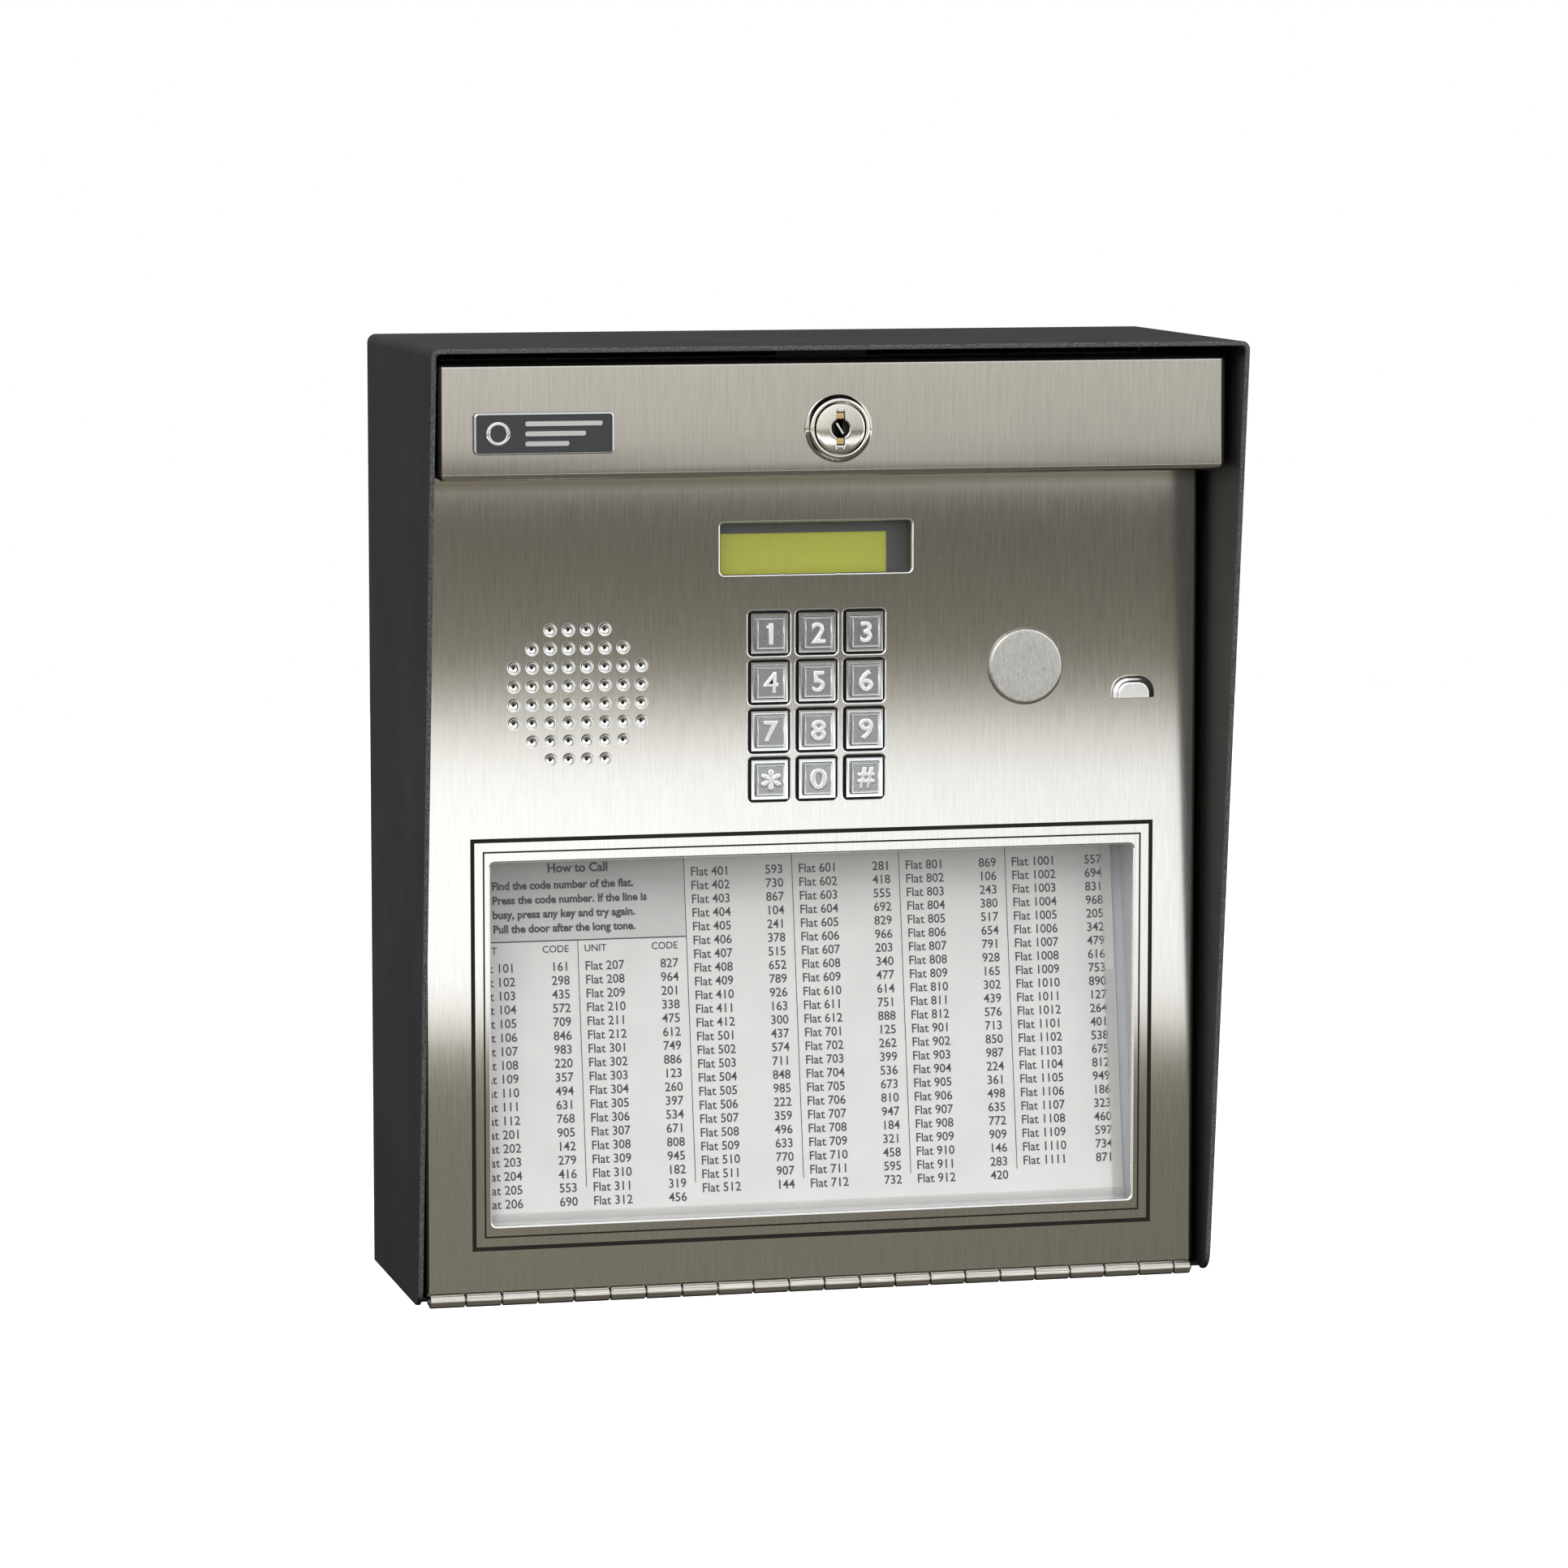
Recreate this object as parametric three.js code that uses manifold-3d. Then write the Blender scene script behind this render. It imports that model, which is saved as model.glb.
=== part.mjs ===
// Surface-mounted door intercom panel: a black folded-steel housing with a stainless door that
// swings down on a piano hinge. Millimetres, +Z up, front towards -Y, wall plane at y = 0.
import * as THREE from 'three';
import { mergeVertices } from 'three/addons/utils/BufferGeometryUtils.js';
import Module from 'manifold-3d';

const wasm = await Module();
wasm.setup();

// ---- driving dimensions -------------------------------------------------------------------
// Heights are measured from the housing's bottom edge, depths from the wall (negative = forward).
const GAP = 0.3;                 // clearance between touching pieces
const HOUSING_W = 283;
const HOUSING_H = 329.2;
const HOUSING_WALL = 1.6;
const TOP_DEPTH = 127.3;         // wall to the hood's front edge at the top
const BOTTOM_DEPTH = 89.7;       // the same at the bottom: the side walls taper
const FOLD_R = 3;
const WALL_TOE_R = 7;            // round front corner at the foot of each side wall

const DOOR_W = 274.8;
const SHEET = 1.5;               // stainless sheet
const FACE_Y = -82;              // front of the lower face
const FACE_BACK = FACE_Y + SHEET;
const FACE_BOTTOM = 3.3;
const FACE_TOP = 284.2;
const FACE_FLANGE = 7;

const STRIP_Y = -114.1;          // front of the lock strip
const STRIP_BOTTOM = 284.5;
const STRIP_TOP = 324.4;
const STRIP_EDGE_R = 2.2;

const KNUCKLE = 12.7;            // half-inch piano hinge
const KNUCKLES = 21.5;
const HINGE_R = 2.4;
const HINGE_PIN_R = 1.2;
const HINGE_LEAF = 1;
const HINGE_Y = FACE_Y + 0.4;
const HINGE_Z = 0.6;
const HINGE_LEAF_W = 20;

const LOCK = { x: 0, z: 300.7, barrelR: 9.3, hole: 9.8 };
const LOCK_RING_R = 11.6;
const PLUG_R = 8.7;
const CAM_LENGTH = 22;
const CAM_Y = -86.2;

const DISPLAY = { x: 0.4, z: 257.85, w: 67.5, h: 17.5 };
const KEYPAD = { x: 0.5, z: 203.3, pitch: 16.85, openingW: 14.3, openingH: 15 };
const SPEAKER = { x: -83.5, z: 209, pitch: 6.35, holeR: 1.75, rowHoles: [4, 6, 8, 8, 8, 8, 6, 4] };
const DISC = { x: 75, z: 215.3, r: 13.4, hole: 12 };
const LOUVRE = { x: 113.85, z: 203.5, halfW: 7.5, h: 7.8, proud: 3 };
const DIRECTORY = { x: 0.25, z: 88.85, w: 228.6, h: 125.7 };
const CARD_LEAN = 0.165;         // the directory card leans back, mm per mm of height

const LENS = 2.5;
const INNER_W = HOUSING_W - 2 * HOUSING_WALL;

// ---- finishes -----------------------------------------------------------------------------
const finish = (color, roughness, metalness) =>
  new THREE.MeshStandardMaterial({ color, roughness, metalness });
const BLACK_POWDER = finish(0x282826, 0.6, 0.1);
const STAINLESS = finish(0xb8b0a2, 0.32, 1);
const BRIGHT_STEEL = finish(0xc8c6c0, 0.2, 1);
const CHROME = finish(0xd8d8d6, 0.12, 1);
const NICKEL = finish(0xcfcdc4, 0.18, 1);
const BADGE_GREY = finish(0x3a3a3c, 0.4, 0.3);
const CLEAR = finish(0xe8eeee, 0.08, 0);
const LCD_GREEN = finish(0xa5ac42, 0.3, 0);
const BEZEL = finish(0x2c2c2e, 0.5, 0.4);
const BOARD_GREEN = finish(0x1f5a34, 0.5, 0);
const RUBBER = finish(0x262626, 0.85, 0);
const FOAM = finish(0x303030, 0.95, 0);
const PAPER_CONE = finish(0x1c1a18, 0.9, 0);
const DARK_PLASTIC = finish(0x303236, 0.55, 0);
const CARD = finish(0xe6e8e8, 0.85, 0);
const TRAY_GREY = finish(0xc9cccd, 0.6, 0.1);
const TERMINAL_GREEN = finish(0x2f7a3c, 0.5, 0);

// ---- shape helpers ------------------------------------------------------------------------
function solid(geometry) {
  const bare = geometry.clone();
  bare.deleteAttribute('normal');
  bare.deleteAttribute('uv');
  const merged = mergeVertices(bare, 1e-4);
  return new wasm.Manifold(new wasm.Mesh({
    numProp: 3,
    vertProperties: new Float32Array(merged.attributes.position.array),
    triVerts: new Uint32Array(merged.index.array),
  }));
}

function geometryOf(body) {
  const mesh = body.getMesh();
  const geometry = new THREE.BufferGeometry();
  geometry.setAttribute('position', new THREE.BufferAttribute(mesh.vertProperties, mesh.numProp));
  geometry.setIndex(new THREE.BufferAttribute(mesh.triVerts, 1));
  geometry.computeVertexNormals();
  return geometry;
}

const box = (x0, x1, y0, y1, z0, z1) => solid(
  new THREE.BoxGeometry(x1 - x0, y1 - y0, z1 - z0)
    .translate((x0 + x1) / 2, (y0 + y1) / 2, (z0 + z1) / 2));

function polygon(points) {
  return new THREE.Shape(points.map(([a, b]) => new THREE.Vector2(a, b)));
}

function roundRect(cx, cz, w, h, r, Path = THREE.Shape) {
  const path = new Path();
  const [x0, x1, z0, z1] = [cx - w / 2, cx + w / 2, cz - h / 2, cz + h / 2];
  path.moveTo(x0 + r, z0).lineTo(x1 - r, z0);
  path.absarc(x1 - r, z0 + r, r, -Math.PI / 2, 0);
  path.lineTo(x1, z1 - r);
  path.absarc(x1 - r, z1 - r, r, 0, Math.PI / 2);
  path.lineTo(x0 + r, z1);
  path.absarc(x0 + r, z1 - r, r, Math.PI / 2, Math.PI);
  path.lineTo(x0, z0 + r);
  path.absarc(x0 + r, z0 + r, r, Math.PI, 1.5 * Math.PI);
  return path;
}

function disc(cx, cz, r) {
  return new THREE.Shape().absarc(cx, cz, r, 0, 2 * Math.PI);
}

// A shape drawn in x-z, between two depths; edge rounds both of its ends.
function acrossY(shapes, front, back, curveSegments = 3, edge = 0) {
  const geometry = new THREE.ExtrudeGeometry(shapes, {
    depth: back - front - 2 * edge,
    curveSegments,
    bevelEnabled: edge > 0,
    bevelThickness: edge,
    bevelSize: edge,
    bevelOffset: -edge,
    bevelSegments: 2,
  });
  return solid(geometry.rotateX(Math.PI / 2).translate(0, back - edge, 0));
}

// A shape drawn in y-z, between two x positions.
const Y_AXIS = new THREE.Vector3(0, 1, 0);
const Z_AXIS = new THREE.Vector3(0, 0, 1);
const X_AXIS = new THREE.Vector3(1, 0, 0);
const TO_X = new THREE.Matrix4().makeBasis(Y_AXIS, Z_AXIS, X_AXIS);
function acrossX(shape, x0, x1, curveSegments = 4) {
  const geometry = new THREE.ExtrudeGeometry(
    shape, { depth: x1 - x0, curveSegments, bevelEnabled: false });
  return solid(geometry.applyMatrix4(TO_X).translate(x0, 0, 0));
}

// A shape drawn in x-y, between two heights.
function acrossZ(shape, z0, z1, curveSegments = 3) {
  const geometry = new THREE.ExtrudeGeometry(
    shape, { depth: z1 - z0, curveSegments, bevelEnabled: false });
  return solid(geometry.translate(0, 0, z0));
}

// A turned piece on an axis along Y: profile points are [radius, y] from front to back.
function turned(profile, cx, cz, segments = 24) {
  const points = profile.map(([r, y]) => new THREE.Vector2(r, y));
  const geometry = new THREE.LatheGeometry(points, segments);
  return solid(geometry.translate(cx, 0, cz));
}

const panel = new THREE.Group();
panel.position.z = -HOUSING_H / 2;

function add(name, body, material) {
  const mesh = new THREE.Mesh(geometryOf(body), material);
  mesh.name = name;
  panel.add(mesh);
}

// ---- housing ------------------------------------------------------------------------------
function housingWrap() {
  const halfW = HOUSING_W / 2;
  const ring = new THREE.Shape();
  ring.moveTo(-halfW, 0).lineTo(halfW, 0).lineTo(halfW, HOUSING_H - FOLD_R);
  ring.absarc(halfW - FOLD_R, HOUSING_H - FOLD_R, FOLD_R, 0, Math.PI / 2);
  ring.lineTo(-halfW + FOLD_R, HOUSING_H);
  ring.absarc(-halfW + FOLD_R, HOUSING_H - FOLD_R, FOLD_R, Math.PI / 2, Math.PI);
  const innerR = FOLD_R - HOUSING_WALL;
  ring.holes.push(roundRect(0, HOUSING_H / 2, INNER_W, HOUSING_H - 2 * HOUSING_WALL, innerR,
    THREE.Path));
  const tube = acrossY(ring, -TOP_DEPTH, 0, 4);

  const front = -TOP_DEPTH - 10;
  const toe = new THREE.Shape();
  toe.moveTo(front, HOUSING_H + 1).lineTo(-TOP_DEPTH, HOUSING_H + 1);
  toe.lineTo(-TOP_DEPTH, HOUSING_H - HOUSING_WALL);
  toe.lineTo(-BOTTOM_DEPTH - 0.4, WALL_TOE_R);
  toe.quadraticCurveTo(-BOTTOM_DEPTH, 0, -BOTTOM_DEPTH + WALL_TOE_R, -0.01);
  toe.lineTo(-BOTTOM_DEPTH + WALL_TOE_R, -1).lineTo(front, -1);
  const hoodCut = acrossX(toe, -halfW - 1, halfW + 1, 6);
  const floorCut = box(-INNER_W / 2, INNER_W / 2, front, HINGE_Y + 3, -1, HOUSING_WALL + 0.01);
  return tube.subtract(hoodCut).subtract(floorCut);
}

const CABLE_HOLE = { x: 0, z: 38, r: 11.5 };
const FIXING = { x: 105, low: 45, high: 285, r: 3.25 };
function backPlate() {
  const holes = [disc(CABLE_HOLE.x, CABLE_HOLE.z, CABLE_HOLE.r)];
  for (const x of [-FIXING.x, FIXING.x]) {
    for (const z of [FIXING.low, FIXING.high]) {
      holes.push(disc(x, z, FIXING.r));
    }
  }
  const outline = roundRect(0, HOUSING_H / 2, INNER_W - 2 * GAP,
    HOUSING_H - 2 * (HOUSING_WALL + GAP), 2);
  return acrossY(outline, -HOUSING_WALL, 0).subtract(acrossY(holes, -5, 5, 12));
}

// The catch that the lock's cam turns up behind.
const CATCH = { halfW: 16, front: -90, thick: 1.6, bottom: 313.5, foot: 18 };
function latchBracket() {
  const top = HOUSING_H - HOUSING_WALL - GAP;
  const tab = box(-CATCH.halfW, CATCH.halfW, CATCH.front, CATCH.front + CATCH.thick,
    CATCH.bottom, top);
  return tab.add(box(-CATCH.halfW, CATCH.halfW, CATCH.front + 1, CATCH.front + CATCH.foot,
    top - CATCH.thick, top));
}

add('housing_wrap', housingWrap(), BLACK_POWDER);
add('back_plate', backPlate(), BLACK_POWDER);
add('latch_bracket', latchBracket(), BRIGHT_STEEL);

const grommetBore = 7;
add('cable_grommet', turned([
  [grommetBore, -4.2], [CABLE_HOLE.r + 3, -4.2], [CABLE_HOLE.r + 3, -HOUSING_WALL - GAP],
  [CABLE_HOLE.r - GAP, -HOUSING_WALL - GAP], [CABLE_HOLE.r - GAP, 0], [grommetBore, 0],
  [grommetBore, -4.2],
], CABLE_HOLE.x, CABLE_HOLE.z), RUBBER);

// ---- piano hinge --------------------------------------------------------------------------
const HINGE_X0 = -KNUCKLES * KNUCKLE / 2;
const HINGE_X1 = -HINGE_X0;
function knuckleSpans(first) {
  const spans = [];
  for (let k = first; k < KNUCKLES; k += 2) {
    const x0 = HINGE_X0 + k * KNUCKLE;
    spans.push([x0 + GAP / 2, Math.min(x0 + KNUCKLE, HINGE_X1) - GAP / 2]);
  }
  return spans;
}

function hingeLeaf(first, plate, neck) {
  const tube = new THREE.Shape().absarc(0, 0, HINGE_R, 0, 2 * Math.PI);
  tube.holes.push(new THREE.Path().absarc(0, 0, HINGE_PIN_R + GAP, 0, 2 * Math.PI));
  let leaf = plate;
  for (const [x0, x1] of knuckleSpans(first)) {
    const bore = acrossX(new THREE.Shape().absarc(0, 0, HINGE_PIN_R + GAP, 0, 2 * Math.PI),
      x0 - 1, x1 + 1, 6).translate(0, HINGE_Y, HINGE_Z);
    const knuckle = acrossX(tube, x0, x1, 6).translate(0, HINGE_Y, HINGE_Z);
    leaf = leaf.add(knuckle.add(neck(x0, x1)).subtract(bore));
  }
  return leaf;
}

const REACH = HINGE_R + GAP;     // a leaf's plate starts clear of the other leaf's knuckles
const bodyPlate = box(HINGE_X0, HINGE_X1, HINGE_Y + REACH, HINGE_Y + HINGE_LEAF_W,
  HINGE_Z + HINGE_R - HINGE_LEAF, HINGE_Z + HINGE_R);
add('hinge_body_leaf', hingeLeaf(0, bodyPlate, (x0, x1) => box(x0, x1, HINGE_Y,
  HINGE_Y + REACH + 0.5, HINGE_Z + HINGE_R - HINGE_LEAF, HINGE_Z + HINGE_R)), STAINLESS);
const leafHalf = DOOR_W / 2 - SHEET - GAP;
const doorPlate = box(-leafHalf, leafHalf, HINGE_Y + HINGE_R - HINGE_LEAF, HINGE_Y + HINGE_R,
  HINGE_Z + REACH + 0.1, HINGE_Z + HINGE_LEAF_W);
add('hinge_door_leaf', hingeLeaf(1, doorPlate, (x0, x1) => box(x0, x1,
  HINGE_Y + HINGE_R - HINGE_LEAF, HINGE_Y + HINGE_R, HINGE_Z, HINGE_Z + REACH + 0.5)), STAINLESS);
add('hinge_pin', acrossX(new THREE.Shape().absarc(0, 0, HINGE_PIN_R, 0, 2 * Math.PI),
  HINGE_X0 - 0.4, HINGE_X1 + 0.4, 6).translate(0, HINGE_Y, HINGE_Z), BRIGHT_STEEL);

// ---- door face ----------------------------------------------------------------------------
function keyCentres() {
  const centres = [];
  for (let row = 0; row < 4; row++) {
    for (let col = 0; col < 3; col++) {
      centres.push([KEYPAD.x + (col - 1) * KEYPAD.pitch, KEYPAD.z + (1.5 - row) * KEYPAD.pitch]);
    }
  }
  return centres;
}

function grilleHoles(holeR, rows) {
  const holes = [];
  rows.forEach((count, row) => {
    const z = SPEAKER.z + ((rows.length - 1) / 2 - row) * SPEAKER.pitch;
    for (let i = 0; i < count; i++) {
      holes.push(disc(SPEAKER.x + (i - (count - 1) / 2) * SPEAKER.pitch, z, holeR));
    }
  });
  return holes;
}

function doorFace() {
  const half = DOOR_W / 2;
  const [outerR, innerR] = [1.8, 0.3];
  const pan = new THREE.Shape();
  const flangeEnd = FACE_Y + FACE_FLANGE;
  pan.moveTo(-half, flangeEnd).lineTo(-half, FACE_Y + outerR);
  pan.absarc(-half + outerR, FACE_Y + outerR, outerR, Math.PI, 1.5 * Math.PI);
  pan.lineTo(half - outerR, FACE_Y);
  pan.absarc(half - outerR, FACE_Y + outerR, outerR, -Math.PI / 2, 0);
  pan.lineTo(half, flangeEnd).lineTo(half - SHEET, flangeEnd);
  pan.lineTo(half - SHEET, FACE_BACK + innerR).lineTo(half - SHEET - innerR, FACE_BACK);
  pan.lineTo(-half + SHEET + innerR, FACE_BACK).lineTo(-half + SHEET, FACE_BACK + innerR);
  pan.lineTo(-half + SHEET, flangeEnd);
  const hingeNotch = box(-half - 1, half + 1, FACE_BACK + GAP, flangeEnd + 1, 0, FACE_BOTTOM + 2);
  const sheet = acrossZ(pan, FACE_BOTTOM, FACE_TOP).subtract(hingeNotch);

  const openings = [
    roundRect(DISPLAY.x, DISPLAY.z, DISPLAY.w, DISPLAY.h, 1.2),
    roundRect(DIRECTORY.x, DIRECTORY.z, DIRECTORY.w, DIRECTORY.h, 1.4),
    ...keyCentres().map(([x, z]) => roundRect(x, z, KEYPAD.openingW, KEYPAD.openingH, 0.9)),
  ];
  const cuts = acrossY(openings, FACE_Y - 1, FACE_BACK + 1, 2);
  const grille = acrossY(grilleHoles(SPEAKER.holeR, SPEAKER.rowHoles),
    FACE_Y - 1, FACE_BACK + 1, 3);
  const plugHole = acrossY(disc(DISC.x, DISC.z, DISC.hole), FACE_Y - 1, FACE_BACK + 1, 12);

  const dome = (inset) => {
    const sphere = new THREE.SphereGeometry(1, 16, 8).rotateX(Math.PI / 2);
    sphere.scale(LOUVRE.halfW - inset, LOUVRE.proud - inset, LOUVRE.h - inset);
    return solid(sphere.translate(LOUVRE.x, FACE_Y, LOUVRE.z));
  };
  const [reach, outwards] = [LOUVRE.halfW + 1.5, FACE_Y - LOUVRE.proud - 2];
  const upper = box(LOUVRE.x - reach, LOUVRE.x + reach, outwards, FACE_BACK,
    LOUVRE.z, LOUVRE.z + reach);
  const mouth = box(LOUVRE.x - reach, LOUVRE.x + reach, outwards, FACE_BACK + 1,
    LOUVRE.z - 0.01, LOUVRE.z + reach);
  const hollow = dome(1).add(dome(1).translate(0, 1, 0)).intersect(mouth);
  return sheet.subtract(cuts).subtract(grille).subtract(plugHole)
    .add(dome(0).intersect(upper)).subtract(hollow);
}

function lockStrip() {
  const height = STRIP_TOP - STRIP_BOTTOM;
  const centreZ = (STRIP_TOP + STRIP_BOTTOM) / 2;
  const back = FACE_Y + 4;
  const [topFlangeEnd, lapBottom, lapHalf] = [-92, 271, DOOR_W / 2 - 4];
  const outer = acrossY(roundRect(0, centreZ, DOOR_W, height, STRIP_EDGE_R + 0.3), STRIP_Y, back,
    3, STRIP_EDGE_R);
  const inner = acrossY(roundRect(0, centreZ, DOOR_W - 2 * SHEET, height - 2 * SHEET, 0.9),
    STRIP_Y + SHEET, back + 5, 2, 0.7);
  const tail = box(-DOOR_W, DOOR_W, FACE_BACK, back + 6, STRIP_BOTTOM - 1, STRIP_TOP + 1);
  const topCut = box(-DOOR_W, DOOR_W, topFlangeEnd, back, STRIP_BOTTOM + 10, STRIP_TOP + 1);
  const lockHole = acrossY(disc(LOCK.x, LOCK.z, LOCK.hole), STRIP_Y - 1, STRIP_Y + 3, 12);
  const lap = box(-lapHalf, lapHalf, FACE_BACK + GAP, FACE_BACK + GAP + SHEET,
    lapBottom, STRIP_BOTTOM + SHEET);
  const ledge = box(-lapHalf, lapHalf, FACE_Y - 4, FACE_BACK + GAP + 0.5,
    STRIP_BOTTOM, STRIP_BOTTOM + SHEET);
  return outer.subtract(inner).subtract(tail).subtract(topCut).subtract(lockHole)
    .add(lap.add(ledge));
}

add('door_face', doorFace(), STAINLESS);
add('lock_strip', lockStrip(), STAINLESS);
const BADGE = { x: -101.5, z: 300.3, w: 47.5, h: 14, r: 1.5, thick: 1.6 };
add('badge_plate', acrossY(roundRect(BADGE.x, BADGE.z, BADGE.w, BADGE.h, BADGE.r),
  STRIP_Y - GAP - BADGE.thick, STRIP_Y - GAP, 3, 0.4), BADGE_GREY);

// ---- cam lock -----------------------------------------------------------------------------
const BORE_R = 6.7;
const CAM_STUD_R = 4;
const CAM_THICK = 1.8;
const NUT_R = 13.5;
const NUT_THICK = 3.7;
const ringFront = STRIP_Y - 3.4;
const counterbore = ringFront + 4.2;
add('lock_body', turned([
  [PLUG_R + GAP, ringFront], [LOCK_RING_R - 1.6, ringFront], [LOCK_RING_R - 1.1, ringFront + 0.6],
  [LOCK_RING_R, ringFront + 1.6], [LOCK_RING_R, STRIP_Y - GAP], [LOCK.barrelR, STRIP_Y - GAP],
  [LOCK.barrelR, CAM_Y - GAP], [BORE_R + GAP, CAM_Y - GAP], [BORE_R + GAP, counterbore],
  [PLUG_R + GAP, counterbore], [PLUG_R + GAP, ringFront],
], LOCK.x, LOCK.z, 28), NICKEL);

const plugSolid = turned([
  [0, ringFront - 0.3], [PLUG_R - 0.5, ringFront - 0.3], [PLUG_R, ringFront + 0.2],
  [PLUG_R, counterbore - GAP], [BORE_R, counterbore - GAP], [BORE_R, CAM_Y - GAP],
  [CAM_STUD_R, CAM_Y - GAP], [CAM_STUD_R, CAM_Y + 1.6], [0, CAM_Y + 1.6],
], LOCK.x, LOCK.z, 28);
const keyway = acrossY(roundRect(LOCK.x, LOCK.z, 1.9, 9.6, 0.5), ringFront - 1, ringFront + 14, 2)
  .add(acrossY(disc(LOCK.x, LOCK.z, 2.3), ringFront - 1, ringFront + 3, 4));
add('lock_plug', plugSolid.subtract(keyway), NICKEL);

// The cam lies level at rest, clear of the catch, and turns up behind it.
const camShape = new THREE.Shape();
camShape.moveTo(LOCK.x, LOCK.z - 7).lineTo(LOCK.x - CAM_LENGTH, LOCK.z - 5);
camShape.lineTo(LOCK.x - CAM_LENGTH, LOCK.z + 5).lineTo(LOCK.x, LOCK.z + 7);
camShape.absarc(LOCK.x, LOCK.z, 7, Math.PI / 2, -Math.PI / 2, true);
camShape.holes.push(new THREE.Path().absarc(LOCK.x, LOCK.z, CAM_STUD_R + GAP, 0, 2 * Math.PI));
add('lock_cam', acrossY(camShape, CAM_Y, CAM_Y + CAM_THICK, 6), BRIGHT_STEEL);
add('cam_screw', turned([
  [0, CAM_Y + CAM_THICK + GAP], [5.2, CAM_Y + CAM_THICK + GAP], [5.2, CAM_Y + CAM_THICK + 2.4],
  [4.4, CAM_Y + CAM_THICK + 3.2], [0, CAM_Y + CAM_THICK + 3.2],
], LOCK.x, LOCK.z, 18), BRIGHT_STEEL);

const hexNut = new THREE.Shape();
for (let i = 0; i < 6; i++) {
  const turn = i * Math.PI / 3;
  const corner = [LOCK.x + NUT_R * Math.cos(turn), LOCK.z + NUT_R * Math.sin(turn)];
  if (i === 0) hexNut.moveTo(...corner);
  else hexNut.lineTo(...corner);
}
hexNut.holes.push(new THREE.Path().absarc(LOCK.x, LOCK.z, LOCK.barrelR + GAP, 0, 2 * Math.PI));
add('lock_nut', acrossY(hexNut, STRIP_Y + SHEET + GAP,
  STRIP_Y + SHEET + GAP + NUT_THICK, 12), BRIGHT_STEEL);

// ---- display ------------------------------------------------------------------------------
const BEHIND = FACE_BACK + GAP;
const sheetBehind = (at, w, h, front, thick, r = 1) =>
  acrossY(roundRect(at.x, at.z, w, h, r), front, front + thick, 2);

add('display_window', sheetBehind(DISPLAY, 73, 22.5, BEHIND, 2), CLEAR);
const bezelFront = BEHIND + 6;
const VIEW = { x: DISPLAY.x - 2.5, z: DISPLAY.z - 2.6, w: 59, h: 14.5 };
const lcdBezel = sheetBehind(DISPLAY, 76, 25, bezelFront, 4.5, 0.6)
  .subtract(sheetBehind(VIEW, VIEW.w, VIEW.h, bezelFront - 1, 7, 0.4))
  .subtract(sheetBehind(DISPLAY, 72, 20.5, bezelFront + 1, 7, 0.4));
add('lcd_bezel', lcdBezel, BEZEL);
add('lcd_glass', sheetBehind(DISPLAY, 71, 19.5, bezelFront + 1 + GAP, 2.4, 0.3), LCD_GREEN);
add('lcd_board', sheetBehind(DISPLAY, 84, 36, bezelFront + 4.5 + GAP, 1.6, 1), BOARD_GREEN);

// ---- keypad -------------------------------------------------------------------------------
const KEY_NAMES = ['1', '2', '3', '4', '5', '6', '7', '8', '9', 'star', '0', 'hash'];
const KEY_FLANGE = 16;
const SKIRT = { w: 12.2, h: 12.9, proud: 0.8 };
const CAP = { w: 9.8, h: 10.4, proud: 2.6, edge: 0.35 };
const KEY_CORNER_R = 0.8;
const FLANGE_THICK = 1.2;
const KEY_TRAVEL = 1.2;
keyCentres().forEach(([x, z], i) => {
  const half = KEY_FLANGE / 2;
  const flange = box(x - half, x + half, BEHIND, BEHIND + FLANGE_THICK, z - half, z + half);
  const skirt = acrossY(roundRect(x, z, SKIRT.w, SKIRT.h, KEY_CORNER_R), FACE_Y - SKIRT.proud,
    BEHIND + 0.6, 1);
  const cap = acrossY(roundRect(x, z, CAP.w, CAP.h, KEY_CORNER_R), FACE_Y - CAP.proud,
    BEHIND + 0.6, 2, CAP.edge);
  add(`key_${KEY_NAMES[i]}`, flange.add(skirt).add(cap), CHROME);
});

const [padW, padH] = [2 * KEYPAD.pitch + KEY_FLANGE + 2, 3 * KEYPAD.pitch + KEY_FLANGE + 2];
const matFront = BEHIND + FLANGE_THICK + KEY_TRAVEL + GAP;
const keypadFrame = sheetBehind(KEYPAD, padW + 6, padH + 6, BEHIND, 7, 2)
  .subtract(sheetBehind(KEYPAD, padW, padH, BEHIND - 1, 10, 1));
add('keypad_frame', keypadFrame, DARK_PLASTIC);
add('keypad_mat', sheetBehind(KEYPAD, padW - 1, padH - 1, matFront, 1.5), RUBBER);
add('keypad_board', sheetBehind(KEYPAD, padW - 1, padH - 1, matFront + 1.5 + GAP, 1.6), BOARD_GREEN);

// ---- speaker ------------------------------------------------------------------------------
const baffleFront = BEHIND + 1.6;
const baffle = sheetBehind(SPEAKER, 58, 58, baffleFront, 1, 2);
const BAFFLE_HOLE_R = 1.2;
const baffleRows = [3, 5, 7, 7, 7, 5, 3];
const baffleHoles = acrossY(grilleHoles(BAFFLE_HOLE_R, baffleRows), baffleFront - 1, baffleFront + 3, 2);
add('speaker_baffle', baffle.subtract(baffleHoles), BRIGHT_STEEL);

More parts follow.
